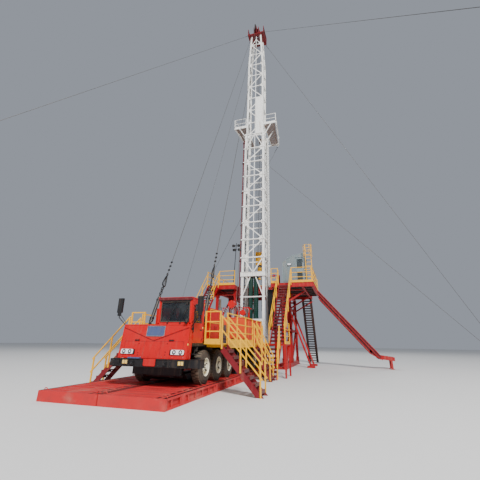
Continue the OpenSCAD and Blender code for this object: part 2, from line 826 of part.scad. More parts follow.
module racking_rails() {
    color(white) place() {
        mirrored() {
            slab([board_in, board_y0, board_z], [board_in + 80, board_y1, board_z + board_h]);
            slab([board_in, board_y0, board_z], [board_x0, board_y0 + 80, board_z + board_h]);
            bar([board_x0 - 40, board_y0, board_z + board_h / 2],
                [board_x1 - 40, board_y1, board_z + board_h / 2], board_h - 2 * inset, 80);
            for (i = [0 : 3]) {
                y = board_y0 + 10 + (board_y1 - board_y0 - post_w - 20) * i / 3;
                slab([board_edge(y) - 75, y, board_z + 40],
                     [board_edge(y) - 25, y + post_w, board_z + 1150]);
            }
            for (h = [620, 1130])
                bar([board_x0 - 52, board_y0, board_z + h], [board_x1 - 52, board_y1, board_z + h],
                    rail_w, rail_w);
            intersection() {
                for (y = [board_y0 + 60, board_y0 + 1250])
                    bar([board_x0 - 500, y, board_z + 60], [lower_w / 2 - 60, y, board_z - 1250], 70, 70);
                slab([lower_w / 2, board_y0, 0], [board_x0, board_y1, board_z]);
            }
        }
        slab([-board_x1, board_y1 - 80, board_z], [board_x1, board_y1, board_z + board_h]);
        for (s = [-1, 1])
            rod(board_eye(s), along(board_eye(s), board_anchor(s), lug_l), lug_d, 8);
    }
}

// Corners of the board that the crossing guys start from, and the ground ends of all guys
function board_eye(s) = [s * (board_x1 - 60), board_y1 - 40, board_z + board_h / 2];
stake_h = 420;
function front_anchor(s) = [s * anchor_x, -anchor_front_y, stake_h];
function rear_anchor(s) = s > 0 ? [anchor_x, anchor_right_y, stake_h]
    : [-anchor_left_x, anchor_left_y, stake_h];
function board_anchor(s) = s > 0 ? [-anchor_left_x + 900, anchor_left_y - 500, stake_h]
    : [anchor_x - 500, anchor_right_y - 900, stake_h];
function side_eye(s) = [s * carrier_eye[0], carrier_eye[1], carrier_eye[2]];

// Guy from a lug at a to the ground stake at b, with its turnbuckle near the ground
module guy(a, b) {
    start = along(a, b, lug_l + seat);
    color(steel) place() {
        rod(start, b, guy_d, 10);
        rod(along(b, a, 500), along(b, a, 1300), 90, 12);
        translate([b[0], b[1], 0]) cylinder(h = stake_h + 60, d = 110);
        translate([b[0], b[1], 0]) cylinder(h = 40, d = 2 * anchor_pad);
    }
}

module guy_front_left() { guy(crown_eye(-1, -1), front_anchor(-1)); }
module guy_front_right() { guy(crown_eye(1, -1), front_anchor(1)); }
module guy_rear_left() { guy(crown_eye(-1, 1), rear_anchor(-1)); }
module guy_rear_right() { guy(crown_eye(1, 1), rear_anchor(1)); }
module board_guy_left() { guy(board_eye(1), board_anchor(1)); }
module board_guy_right() { guy(board_eye(-1), board_anchor(-1)); }

module carrier_guys() {
    color(steel) place() for (s = [-1, 1]) {
        a = crown_side_eye(s);
        b = side_eye(s);
        rod(along(a, b, lug_l + seat), along(b, a, 1400), guy_d, 10);
        rod(along(b, a, lug_l + seat), along(b, a, 1500), 80, 12);
    }
}

module raising_rams() {
    color([0.10, 0.27, 0.20]) intersection() {
        mast_place() mirrored() {
            translate([ram_x, ram_y, -pivot_h]) cylinder(h = pivot_h + base_z - base_beam_h / 2, d = ram_d);
            translate([ram_x, ram_y, 400]) cylinder(h = 140, d = ram_d + 50);
        }
        place() slab([-lower_w, -nose_y, deck_h], [lower_w, nose_y, pivot_h * 3]);
    }
}

pipe_d = 110;
pipe_x = lower_w / 2 + 150;
pipe_y = 95;
pipe_z0 = 700;
pipe_z1 = lower_l - 800;

module standpipe() {
    color([0.38, 0.12, 0.12]) mast_place() {
        translate([-pipe_x, pipe_y, pipe_z0]) cylinder(h = pipe_z1 - pipe_z0, d = pipe_d);
        for (i = [1 : 2 : 7])
            slab([-pipe_x - 10, pipe_y - 40, lower_nodes[i] - 35],
                 [-lower_w / 2, pipe_y + 40, lower_nodes[i] + 35]);
        translate([-pipe_x, pipe_y, pipe_z1]) sphere(d = pipe_d + 20);
        translate([-pipe_x, pipe_y, pipe_z1]) rotate([-70, 0, 0]) cylinder(h = 420, d = pipe_d);
    }
}

climb_y = 900;

module mast_ladder() {
    x = lower_w / 2;
    color(white) mast_place() {
        for (y = [climb_y, climb_y + 400]) slab([x + 120, y, 2480], [x + 160, y + 40, lower_l - 150]);
        for (z = [2640 : 300 : lower_l - 300])
            slab([x + 128, climb_y + 20, z], [x + 152, climb_y + 420, z + 24]);
        for (i = [1 : 2 : 7])
            slab([x, climb_y + 400, lower_nodes[i] - 25], [x + 130, climb_y + 440, lower_nodes[i] + 25]);
    }
}

// Travelling block with its hook
hook_z = floor_h + hook_gap;
block_z = hook_z + 2150;
block_top = block_z + 560;

module travelling_block() {
    color(yellow) place() {
        translate([0, 0, block_z]) {
            for (x = sheave_list) translate([x, 0, 0]) sheave(sheave_r, sheave_t);
            rotate([0, 90, 0]) translate([0, 0, -300]) cylinder(h = 600, d = 150);
            for (x = [-245 - cheek_t, 245]) {
                translate([x, 0, 0]) rotate([0, 90, 0]) cylinder(h = cheek_t, r = sheave_r + 60, $fn = 48);
                slab([x, -260, -900], [x + cheek_t, 260, 0]);
            }
            slab([-290, -230, -900], [290, 230, -400]);
        }
        translate([0, 0, hook_z + 480]) cylinder(h = 800, d = 260);
        translate([0, 0, hook_z + 300]) rotate([90, 0, 0]) rotate_extrude(angle = 290, $fn = 36)
            translate([210, 0]) circle(d = 170, $fn = 20);
        translate([0, 0, hook_z + 900]) sphere(d = 420);
    }
}

module drilling_lines() {
    color(steel) place() for (x = sheave_list, y = [-sheave_r, sheave_r])
        translate([x, y, block_z]) cylinder(h = sheave_z - block_z, d = line_d, $fn = 16);
}

module fast_line() {
    d = [0, drum_y - fast_y, drum_z - fast_z];
    n = [0, d[2], -d[1]] / norm(d) * fast_r;
    color(steel) place() rod([0, fast_y, fast_z] + n, [0, drum_y, drum_z] + n, line_d);
}

// Substructure
girder_z = floor_h - 20 - girder_h;
sub_leg = 200;
sub_in = 1500;
sub_right = 2350;
sub_left = 3250;
sub_y = [-1900, 1400, 4700];
sub_base = 300;

// Braced frame in the YZ plane, its inner face at x
module sub_frame(x) {
    slab([x, sub_y[0] - 300, 0], [x + sub_leg, sub_y[2] + sub_leg + 300, sub_base]);
    for (y = sub_y) slab([x, y, sub_base], [x + sub_leg, y + sub_leg, girder_z]);
    slab([x + 20, sub_y[0], girder_z / 2 - 80], [x + sub_leg - 20, sub_y[2], girder_z / 2 + 80]);
    for (i = [0, 1], up = [0, 1])
        bar([x + sub_leg / 2, sub_y[i] + sub_leg / 2, up ? girder_z / 2 : sub_base],
            [x + sub_leg / 2, sub_y[i + 1] + sub_leg / 2, up ? girder_z - 70 : girder_z / 2], 110, 90);
}

module sub_ties(x0, x1) {
    for (y = sub_y) {
        for (z = [0, girder_z / 2 - 70, girder_z - 160])
            slab([x0, y + 30, z], [x1, y + sub_leg - 30, z + 140]);
        bar([x0, y + sub_leg / 2, 140], [x1, y + sub_leg / 2, girder_z / 2 - 60], 90, 90);
    }
}

module substructure_left() {
    color(red) place() mirror([1, 0, 0]) {
        sub_frame(sub_in);
        sub_frame(sub_left - sub_leg);
        sub_ties(sub_in + sub_leg, sub_left - sub_leg);
    }
}

strut_foot = 3800;
strut_top = 4400;

module substructure_right() {
    color(red) place() {
        sub_frame(sub_in);
        sub_frame(sub_right - sub_leg);
        sub_ties(sub_in + sub_leg, sub_right - sub_leg);
        slab([sub_right - sub_leg + 20, sub_y[0] + sub_leg, strut_top - 90],
             [sub_right - 20, sub_y[2], strut_top + 90]);
        for (y = [400, 2900]) {
            for (k = [0, 230])
                bar([sub_right - 60, y + k, strut_top], [strut_foot, y + k, 120], 110, 90);
            slab([strut_foot - 260, y - 120, 0], [strut_foot + 300, y + 360, 130]);
        }
        intersection() {
            for (y = [sub_y[0] + 100, sub_y[1] + 100, sub_y[2] + 100])
                bar([sub_right - 60, y, girder_z - 900], [3990, y, girder_z + 60], 110, 90);
            slab([sub_right - 60, -nose_y, 0], [floor_right, nose_y, girder_z]);
        }
    }
}

// Floor
wing_x = 3900;
wing_y = 3100;
edge_h = 300;
beam_t = 160;
floor_t = 20;
deck_z = floor_h - floor_t;
well_half = 560;

module floor_outline() {
    polygon([[-floor_left, -floor_front], [-slot_half, -floor_front], [-slot_half, -slot_end],
             [slot_half, -slot_end], [slot_half, -floor_front], [floor_right, -floor_front],
             [floor_right, wing_y], [wing_x, wing_y], [wing_x, floor_rear],
             [-floor_left, floor_rear]]);
}

module floor_beams() {
    color(red) place() {
        difference() {
            translate([0, 0, deck_z - edge_h]) linear_extrude(edge_h) floor_outline();
            for (x = [[-floor_left + beam_t, -sub_left], [-sub_left + sub_leg, -sub_in - sub_leg],
                      [sub_in + sub_leg, sub_right - sub_leg], [sub_right, wing_x - beam_t]],
                 y = [[-floor_front + beam_t, -slot_end], [-slot_end + beam_t, 1700],
                      [1700 + beam_t, floor_rear - beam_t]])
                slab([x[0], y[0], 0], [x[1], y[1], floor_h]);
            slab([-sub_in, 1700 + beam_t, 0], [sub_in, floor_rear - beam_t, floor_h]);
            slab([-well_half, -slot_end + beam_t, 0], [well_half, 1700, floor_h]);
            for (s = [-1, 1])
                slab([s > 0 ? well_half + beam_t : -sub_in, -slot_end + beam_t, 0],
                     [s > 0 ? sub_in : -well_half - beam_t, 1700, floor_h]);
            slab([wing_x, -floor_front + beam_t, 0], [floor_right - beam_t, wing_y - beam_t, floor_h]);
        }
        for (x = [-sub_left, -sub_in - sub_leg, sub_in, sub_right - sub_leg])
            slab([x, sub_y[0], girder_z], [x + sub_leg, sub_y[2] + sub_leg, deck_z]);
    }
}

table_d = 1300;
module floor_deck() {
    color([0.35, 0.30, 0.28]) place() difference() {
        translate([0, 0, deck_z]) linear_extrude(floor_t) floor_outline();
        translate([0, 0, deck_z - 1]) cylinder(h = floor_t + 2, d = table_d - 300, $fn = 48);
    }
}

module rotary_table() {
    color(red) place() difference() {
        union() {
            translate([0, 0, floor_h]) cylinder(h = 110, d = table_d, $fn = 64);
            translate([0, 0, deck_z - 300]) cylinder(h = 330, d = table_d - 310, $fn = 64);
        }
        translate([0, 0, deck_z - 400]) cylinder(h = 700, d = rotary_d, $fn = 64);
    }
}

main_x = 2080;
main_w = 900;
left_x = -3750;
rear_x = 2950;
rear_w = 800;

module floor_rails() {
    z = floor_h;
    yf = -floor_front + 5;
    color(yellow) place() {
        translate([slot_half + 10, yf, z]) guard(main_x - post_w - slot_half - 20);
        translate([main_x + main_w + post_w, yf, z]) guard(floor_right - main_x - main_w - 2 * post_w - 20);
        translate([left_x + main_w + post_w, yf, z]) guard(-slot_half - left_x - main_w - post_w - 10);
        translate([floor_right - 5, yf, z]) rotate([0, 0, 90]) guard(ramp_y0 - 60 + floor_front);
        translate([floor_right - 5, ramp_y1 + 40, z]) rotate([0, 0, 90]) guard(wing_y - ramp_y1 - 110);
        translate([-floor_left + post_w, yf + 70, z]) rotate([0, 0, 90])
            guard(floor_rear + floor_front - 90);
        translate([-floor_left + 70, floor_rear - post_w - 10, z]) guard(floor_left + rear_x - 150);
    }
}

cabin_door_x0 = 3300;
cabin_door_x1 = 3830;
cabin_door_h = 2200;

module cabin_shape(t) {
    polygon([[cabin_x0 + t, t], [cabin_x1 - t, t], [cabin_x1 - t, cabin_h - t * 1.19],
             [cabin_x0 + cabin_cut + t * 0.35, cabin_knee - t * 0.95],
             [cabin_x0 + t, cabin_low - t * 0.57]]);
}

cabin_hinge_z = [floor_h + 300, floor_h + 1900];

// Hinge axis of the cabin door, outside the cabin's front wall
module cabin_hinge(z) {
    translate([cabin_door_x1, cabin_y0 - knuckle_d / 2, z]) rotate([0, 0, -90]) children();
}

module driller_cabin() {
    color([0.62, 0.66, 0.66]) place() translate([0, 0, floor_h]) difference() {
        translate([0, cabin_y1, 0]) rotate([90, 0, 0])
            linear_extrude(cabin_y1 - cabin_y0) cabin_shape(0);
        translate([0, cabin_y1 - cabin_wall, 0]) rotate([90, 0, 0])
            linear_extrude(cabin_y1 - cabin_y0 - 2 * cabin_wall) cabin_shape(cabin_wall);
        slab([cabin_door_x0, cabin_y0 - 1, cabin_wall],
             [cabin_door_x1, cabin_y0 + cabin_wall + 1, cabin_door_h]);
        slab([cabin_x0 - 1, cabin_y0 + 200, cabin_sill],
             [cabin_x0 + cabin_wall + 1, cabin_y1 - 200, cabin_head]);
    }
    color([0.62, 0.66, 0.66]) place() for (z = cabin_hinge_z)
        cabin_hinge(z - knuckle_h - seat) knuckle(leaf_l);
}

module cabin_door() {
    color([0.20, 0.22, 0.26]) place() {
        slab([cabin_door_x0 + gap, cabin_y0, floor_h + cabin_wall + gap],
             [cabin_door_x1 - gap, cabin_y0 + 45, floor_h + cabin_door_h - gap]);
        for (z = cabin_hinge_z) cabin_hinge(z) knuckle(-leaf_l);
    }
}

module cabin_ladder() {
    color(yellow) place() translate([0, 0, floor_h]) {
        for (x = [4040, 4500]) slab([x, -1180, 0], [x + 50, -1130, 3300]);
        for (z = [300 : 300 : 3200]) slab([4040, -1170, z], [4550, -1140, z + 30]);
        for (z = [1200, 2500], y = [-1180])
            slab([cabin_x1, y + 40, z], [4060, y + 90, z + 50]);
    }
}

// Stair tower from the floor's front edge: upper flight, landing and lower flight
land_y0 = -6400;
land_y1 = -8000;
land_w = 1330;
low_run = 1000;

// x is the flights' left edge, lx the landing's
module stair_tower(x, lx) {
    z = walk_z - 30;
    translate([x, -floor_front, floor_h]) flight(main_w, -land_y0 - floor_front, floor_h - z);
    slab([lx, land_y1, z - 60], [lx + land_w, land_y0, z]);
    translate([x, land_y1, z]) flight(main_w, low_run, z);
    for (u = [lx, lx + land_w - 90], y = [land_y1, land_y0 - 90])
        slab([u, y, 0], [u + 90, y + 90, z - 60]);
    for (u = [lx + 45, lx + land_w - 45])
        bar([u, land_y1 + 45, 200], [u, land_y0 - 45, z - 100], 70, 50);
}

module tower_rails(x, edge) {
    z = walk_z - 30;
    for (u = [x - post_w, x + main_w]) {
        translate([u, -floor_front, floor_h]) flight_rail(-land_y0 - floor_front, floor_h - z, 5);
        translate([u, land_y1, z]) flight_rail(low_run, z, 3);
    }
    translate([edge, land_y1 + 10, z]) rotate([0, 0, 90]) guard(land_y0 - land_y1 - 20);
}

module main_stair() {
    color(red) place() stair_tower(main_x, main_x - 80);
}

module main_stair_rails() {
    color(yellow) place() tower_rails(main_x, main_x - 80 + land_w);
}

module left_stair() {
    color(red) place() stair_tower(left_x, left_x + main_w + 20 - land_w);
}

module left_stair_rails() {
    color(yellow) place() tower_rails(left_x, left_x + main_w + 20 - land_w + post_w);
}

rear_run = 3400;
module rear_stair() {
    color([0.20, 0.13, 0.12]) place() translate([rear_x, floor_rear, floor_h]) mirror([0, 1, 0]) {
        flight(rear_w, rear_run, floor_h);
        for (x = [0, rear_w - post_w])
            translate([x, 0, 0]) flight_rail(rear_run, floor_h, 6);
    }
}

ramp_y0 = 1700;
ramp_y1 = 2900;
ramp_foot = 8900;
ramp_z = 950;
ramp_h = 260;
ramp_end = 9900;

module pipe_ramp() {
    color(red) place() {
        for (y = [ramp_y0, ramp_y1 - 160])
            translate([0, y + 160, 0]) rotate([90, 0, 0]) linear_extrude(160)
                polygon([[floor_right, floor_h - 20], [ramp_foot, ramp_z], [ramp_end, ramp_z - 120],
                         [ramp_end, ramp_z - 120 - ramp_h], [ramp_foot - 150, ramp_z - ramp_h],
                         [floor_right, floor_h - 20 - ramp_h * 1.4]]);
        translate([0, ramp_y1 - 100, 0]) rotate([90, 0, 0]) linear_extrude(ramp_y1 - ramp_y0 - 200)
            polygon([[floor_right, floor_h - 120], [ramp_foot, ramp_z - 100],
                     [ramp_end, ramp_z - 220], [ramp_end, ramp_z - 250],
                     [ramp_foot - 20, ramp_z - 130], [floor_right, floor_h - 150]]);
        for (y = [ramp_y0 + 20, ramp_y1 - 140])
            slab([ramp_end - 300, y, 0], [ramp_end - 180, y + 120, ramp_z - 250]);
    }
}

carrier_mats();
carrier_frame();
axles();
tyres();
wheel_rims();
front_bumper();
front_body();
cab();
cab_door();
headlamps();
mirrors();
side_cabinet();
engine_housing();
drawworks_frame();
drawworks_drum();
carrier_walkway();
walkway_rails();
side_stair();
side_stair_rails();
window_glass();
mast_base();
mast_lower_front();
mast_lower_left();
mast_lower_right();
mast_upper_front();
mast_upper_left();
mast_upper_right();
crown_frame();
crown_sheaves();
racking_board();
racking_rails();
raising_rams();
standpipe();
mast_ladder();
travelling_block();
drilling_lines();
fast_line();
substructure_left();
substructure_right();
floor_beams();
floor_deck();
rotary_table();
floor_rails();
driller_cabin();
cabin_door();
cabin_ladder();
main_stair();
main_stair_rails();
left_stair();
left_stair_rails();
pipe_ramp();
rear_stair();
guy_front_left();
guy_front_right();
guy_rear_left();
guy_rear_right();
board_guy_left();
board_guy_right();
carrier_guys();
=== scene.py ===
# %% [markdown]
# The rig in one lesson
#
# An oil drilling rig is mostly painted steel: a truck-like carrier, a lattice mast, a floor on
# two red frames and a great many stairs and rails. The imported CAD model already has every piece
# at its real size. This script dresses it: it gives each piece the finish of weathered plant
# steel and adds the small things that make it look built, such as bolts, seams, gussets,
# lamps, tread blocks and rope fittings. All lengths are metres, in the frame of the CAD model.

# %% Load the fixed frame
import math

import bmesh
import bpy
from mathutils import Matrix, Vector


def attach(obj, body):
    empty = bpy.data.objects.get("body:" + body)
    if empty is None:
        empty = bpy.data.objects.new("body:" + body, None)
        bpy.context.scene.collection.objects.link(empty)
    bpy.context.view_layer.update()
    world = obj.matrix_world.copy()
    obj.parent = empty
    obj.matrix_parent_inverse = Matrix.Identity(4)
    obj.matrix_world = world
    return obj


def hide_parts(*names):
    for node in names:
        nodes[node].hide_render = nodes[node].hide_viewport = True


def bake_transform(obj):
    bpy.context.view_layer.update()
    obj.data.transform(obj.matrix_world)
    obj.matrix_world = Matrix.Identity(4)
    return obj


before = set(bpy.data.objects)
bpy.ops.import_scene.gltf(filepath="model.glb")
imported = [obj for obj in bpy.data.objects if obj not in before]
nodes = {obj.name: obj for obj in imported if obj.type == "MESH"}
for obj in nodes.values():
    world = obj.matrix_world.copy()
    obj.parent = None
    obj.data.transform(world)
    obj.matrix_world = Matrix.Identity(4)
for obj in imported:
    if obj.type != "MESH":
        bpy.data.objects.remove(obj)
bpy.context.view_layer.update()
WELL_Y = 7.6          # the well centre in the row frame
SIDES = (-1, 1)       # left and right, as a sign of X

# %% [markdown]
# The camera stands low in front of the nose and looks up along the mast. Its place, angles and
# focal length were worked out from the rig's own right angles, with the photograph taken as 480
# pixels wide. The optical axis met the picture 26 pixels above its middle, which is the shift.

# %% Camera
FRAME_PX = 480
FOCAL_PX = 313.26
AXIS_ABOVE_MIDDLE_PX = 26
SENSOR = 36.0
CAMERA_AT = Vector((6.353, -26.389 + WELL_Y, 1.754))
YAW, PITCH, ROLL = (math.radians(a) for a in (-17.329, 22.211, 0.804))

ahead = Vector((math.sin(YAW) * math.cos(PITCH), math.cos(YAW) * math.cos(PITCH), math.sin(PITCH)))
level_right = Vector((math.cos(YAW), -math.sin(YAW), 0))
level_up = level_right.cross(ahead)
right = level_right * math.cos(ROLL) + level_up * math.sin(ROLL)
up = level_up * math.cos(ROLL) - level_right * math.sin(ROLL)

camera_data = bpy.data.cameras.new("camera")
camera_data.sensor_width = SENSOR
camera_data.lens = SENSOR * FOCAL_PX / FRAME_PX
camera_data.shift_y = -AXIS_ABOVE_MIDDLE_PX / FRAME_PX
camera_data.clip_end = 500
camera = bpy.data.objects.new("camera", camera_data)
camera.matrix_world = Matrix((
    (right.x, up.x, -ahead.x, CAMERA_AT.x),
    (right.y, up.y, -ahead.y, CAMERA_AT.y),
    (right.z, up.z, -ahead.z, CAMERA_AT.z),
    (0, 0, 0, 1)))
bpy.context.scene.collection.objects.link(camera)
bpy.context.scene.camera = camera
print("lens", round(camera_data.lens, 2), "mm")

# %% [markdown]
# Shader maths reads best as plain expressions. Sock wraps a socket of a node tree, and its
# operators add Math nodes, so 1 - mask * 0.5 works as it would on numbers.

# %% Shader maths as Python expressions
class Sock:
    """One output socket, with arithmetic that adds Math nodes to its tree."""

    def __init__(self, tree, socket):
        self.tree = tree
        self.socket = socket

    def _math(self, operation, a, b=0.0, clamp=False):
        n = self.tree.nodes.new("ShaderNodeMath")
        n.operation = operation
        n.use_clamp = clamp
        for slot, value in zip(n.inputs, (a, b)):
            if isinstance(value, Sock):
                self.tree.links.new(value.socket, slot)
            else:
                slot.default_value = value
        return Sock(self.tree, n.outputs[0])

    def __add__(self, other):
        return self._math("ADD", self, other)

    def __sub__(self, other):
        return self._math("SUBTRACT", self, other)

    def __mul__(self, other):
        return self._math("MULTIPLY", self, other)

    def __radd__(self, other):
        return self._math("ADD", other, self)

    def __rsub__(self, other):
        return self._math("SUBTRACT", other, self)

    def __rmul__(self, other):
        return self._math("MULTIPLY", other, self)

    def clamp(self):
        return self._math("ADD", self, 0.0, True)

    def ramp(self, low, high):
        """0 below low, 1 above high, straight between."""
        return self._math("MULTIPLY", self - low, 1.0 / (high - low), True)

    def modulo(self, other):
        return self._math("FLOORED_MODULO", self, other)


print("operators of a socket: + - * clamp ramp modulo")

# %% [markdown]
# Every other node comes from Shade.node, which takes a node type, its settings and its inputs.
# A pattern starts from the Object coordinates, so it keeps its real size on every piece.

# %% A material and its nodes
class Shade:
    """One material, with short ways to add nodes to it."""

    def __init__(self, name):
        self.material = bpy.data.materials.new(name)
        self.material.use_nodes = True
        self.tree = self.material.node_tree
        self.shader = self.tree.nodes["Principled BSDF"]
        coordinate = self.tree.nodes.new("ShaderNodeTexCoord")
        self.place = Sock(self.tree, coordinate.outputs["Object"])
        split = self.node("ShaderNodeSeparateXYZ", Vector=self.place)
        self.x, self.y, self.z = (Sock(self.tree, split.outputs[i]) for i in range(3))

    def node(self, kind, settings=None, **values):
        n = self.tree.nodes.new(kind)
        for key, value in (settings or {}).items():
            setattr(n, key, value)
        for key, value in values.items():
            self.feed(n.inputs[key.replace("_", " ")], value)
        return n

    def feed(self, slot, value):
        if isinstance(value, Sock):
            self.tree.links.new(value.socket, slot)
        else:
            slot.default_value = value

    def noise(self, scale, detail=3.0, stretch=None, rough=0.55):
        place = self.place
        if stretch:
            m = self.node("ShaderNodeMapping", Vector=place, Scale=stretch)
            place = Sock(self.tree, m.outputs[0])
        n = self.node("ShaderNodeTexNoise", Vector=place, Scale=scale, Detail=detail,
                      Roughness=rough)
        return Sock(self.tree, n.outputs[0])

    def mix(self, factor, a, b):
        """Colour mix: a where factor is 0, b where it is 1."""
        n = self.tree.nodes.new("ShaderNodeMix")
        n.data_type = "RGBA"
        for slot, value in ((n.inputs[0], factor), (n.inputs[6], a), (n.inputs[7], b)):
            if isinstance(value, tuple):
                value = (*value[:3], 1.0)
            self.feed(slot, value)
        return Sock(self.tree, n.outputs[2])

    def bump(self, height, strength=0.3, distance=0.01):
        n = self.node("ShaderNodeBump", Strength=strength, Distance=distance, Height=height)
        self.tree.links.new(n.outputs[0], self.shader.inputs["Normal"])

    def finish(self, color, roughness, metallic=0.0):
        if isinstance(color, tuple):
            color = (*color[:3], 1.0)
        self.feed(self.shader.inputs["Base Color"], color)
        self.feed(self.shader.inputs["Roughness"], roughness)
        self.feed(self.shader.inputs["Metallic"], metallic)
        return self.material


print("a material comes from Shade: node, noise, mix, bump and finish")

# %% [markdown]
# Plant paint is never one flat colour. Sun bleaches it in broad patches, dust settles on it in
# thin streaks that run down with the rain, and it chips to rust in small spots. One function
# makes that finish for any paint, with the amount of each as a number.

# %% Weathered paint
DUST = (0.40, 0.28, 0.18)
RUST = (0.16, 0.055, 0.022)


def paint(name, color, faded=0.25, dust=0.35, rust=0.25, gloss=0.38):
    """Painted steel: colour, sun-faded share, dust share, rust share and roughness."""
    s = Shade(name)
    broad = s.noise(0.55, 3)
    fine = s.noise(7, 5)
    streak = s.noise(3.2, 4, stretch=(2.2, 2.2, 0.22))
    chips = s.noise(19, 2, rough=0.7)
    pale = tuple(min(1.0, c * 0.88 + 0.055) for c in color)
    deep = tuple(c * 0.62 for c in color)
    tone = s.mix(broad.ramp(0.38, 0.66) * faded * 2, color, pale)
    tone = s.mix(fine.ramp(0.52, 0.78) * 0.5, tone, deep)
    dirt = (streak.ramp(0.50, 0.74) * fine.ramp(0.30, 0.62) * dust).clamp()
    tone = s.mix(dirt, tone, DUST)
    worn = (chips.ramp(0.665, 0.70) * broad.ramp(0.44, 0.60) * rust * 2.2).clamp()
    tone = s.mix(worn, tone, RUST)
    s.bump(fine * 0.5 + chips * 0.2 - worn * 0.5, 0.18, 0.004)
    s.shader.inputs["Specular IOR Level"].default_value = 0.32
    return s.finish(tone, gloss + dirt * 0.3 + worn * 0.35 + fine * 0.08)


# Each row: the colour, then how faded, dusty, rusty and rough it is.
red_paint = paint("red_paint", (0.52, 0.001, 0.003), 0.05, 0.16, 0.12, 0.30)
frame_red = paint("frame_red", (0.38, 0.002, 0.006), 0.06, 0.30, 0.45, 0.42)
stair_red = paint("stair_red", (0.185, 0.003, 0.009), 0.15, 0.25, 0.25, 0.5)
pipe_red = paint("pipe_red", (0.105, 0.006, 0.010), 0.10, 0.22, 0.40)
crown_red = paint("crown_red", (0.17, 0.004, 0.008), 0.08, 0.20, 0.40)
orange_paint = paint("orange_paint", (0.72, 0.060, 0.010), 0.12, 0.25, 0.10)
yellow_paint = paint("yellow_paint", (0.86, 0.44, 0.008), 0.06, 0.18, 0.35)
white_paint = paint("white_paint", (0.84, 0.83, 0.79), 0.05, 0.62, 0.95, 0.40)
cream_paint = paint("cream_paint", (0.86, 0.80, 0.62), 0.10, 0.45, 0.25)
green_paint = paint("green_paint", (0.004, 0.034, 0.024), 0.05, 0.10, 0.05, 0.20)
blue_grey = paint("blue_grey", (0.060, 0.085, 0.19), 0.08, 0.12, 0.1, 0.3)
cabin_paint = paint("cabin_paint", (0.21, 0.265, 0.28), 0.15, 0.25, 0.25, 0.30)
black_paint = paint("black_paint", (0.010, 0.010, 0.011), 0.04, 0.16, 0.15, 0.40)
brown_steel = paint("brown_steel", (0.050, 0.020, 0.015), 0.12, 0.32, 0.60, 0.6)
under_brown = paint("under_brown", (0.030, 0.010, 0.008), 0.05, 0.20, 0.5, 0.7)
slat_brown = paint("slat_brown", (0.20, 0.115, 0.070), 0.5, 0.5, 0.5, 0.6)
print("paints ready")

# %% [markdown]
# Rubber is black only where it is clean: mud lies on it in broad patches and grit in small
# ones. The glass is half clear and dark, and a film of dust dulls it here and there.

# %% Rubber and glass
def tyre_rubber(name, clean, muddy):
    s = Shade(name)
    mud = s.noise(2.6, 5)
    grit = s.noise(45, 3)
    tone = s.mix(mud.ramp(0.34, 0.62), clean, muddy)
    tone = s.mix(grit.ramp(0.45, 0.8) * 0.4, tone, (0.20, 0.145, 0.095))
    s.bump(grit + mud, 0.25, 0.006)
    return s.finish(tone, 0.74 + grit * 0.2)


def dark_glass():
    s = Shade("dark_glass")
    film = s.noise(1.8, 4)
    tone = s.mix(film.ramp(0.45, 0.75) * 0.35, (0.012, 0.016, 0.020), (0.10, 0.10, 0.09))
    s.shader.inputs["Coat Weight"].default_value = 0.6
    s.feed(s.shader.inputs["Alpha"], 0.55 + film.ramp(0.40, 0.75) * 0.30)
    return s.finish(tone, 0.05 + film.ramp(0.45, 0.75) * 0.16)


rubber = tyre_rubber("tyre_rubber", (0.010, 0.009, 0.009), (0.060, 0.043, 0.030))
lug_rubber = tyre_rubber("lug_rubber", (0.045, 0.036, 0.028), (0.165, 0.122, 0.080))
glass = dark_glass()
print("rubber and glass ready")

# %% [markdown]
# Bare steel shows grease in smears and light scratches. A wire rope shows its strands, which a
# slanting stripe gives without any modelled wires.

# %% Bare steel and wire rope
def bare_steel(name, color, shine, grease):
    s = Shade(name)
    smear = s.noise(2.4, 4)
    scratch = s.noise(26, 3, stretch=(1, 1, 6))
    tone = s.mix(smear.ramp(0.42, 0.70) * grease, color, (0.045, 0.034, 0.026))
    tone = s.mix(scratch.ramp(0.62, 0.75) * 0.3, tone, tuple(min(1, c * 1.5) for c in color))
    s.bump(scratch, 0.15, 0.002)
    return s.finish(tone, shine + smear * 0.25, 0.85)


def wire_rope():
    s = Shade("wire_rope")
    strand = (s.z * 60 + s.x * 25 + s.y * 25).modulo(1.0)
    dirt = s.noise(1.6, 4)
    tone = s.mix(strand.ramp(0.2, 0.8) * 0.6, (0.050, 0.046, 0.042), (0.19, 0.18, 0.165))
    tone = s.mix(dirt.ramp(0.4, 0.7) * 0.5, tone, (0.12, 0.085, 0.06))
    s.bump(strand, 0.3, 0.003)
    return s.finish(tone, 0.5, 0.5)


machined = bare_steel("machined_steel", (0.42, 0.42, 0.43), 0.24, 0.5)
engine_grey = bare_steel("engine_grey", (0.20, 0.21, 0.22), 0.42, 0.8)
greasy = bare_steel("greasy_steel", (0.13, 0.12, 0.11), 0.38, 0.9)
rope = wire_rope()
print("steel and rope ready")

# %% [markdown]
# Three finishes belong to sheet that is pressed or worn: the floor's chequered plate, the
# cabin's ribbed wall, and the mats, which tyres have ground down and sand half hides. The ribbed
# wall carries painted light and shade on its ribs, and the mats painted shade on their front face.

# %% Chequer plate, ribbed sheet and mats
def chequer_plate():
    """Tread plate: short raised lozenges, brown with dried mud where people walk."""
    s = Shade("chequer_plate")
    one_way = ((s.x + s.y) * 14).modulo(1.0).ramp(0.30, 0.5)
    lozenge = one_way * ((s.x - s.y) * 14).modulo(1.0).ramp(0.55, 0.75)
    mud = s.noise(0.9, 5)
    tone = s.mix(mud.ramp(0.36, 0.66), (0.115, 0.070, 0.050), (0.33, 0.25, 0.175))
    tone = s.mix(lozenge * 0.35, tone, (0.22, 0.19, 0.165))
    s.bump(lozenge, 0.5, 0.004)
    return s.finish(tone, 0.55 + mud * 0.2, 0.2)


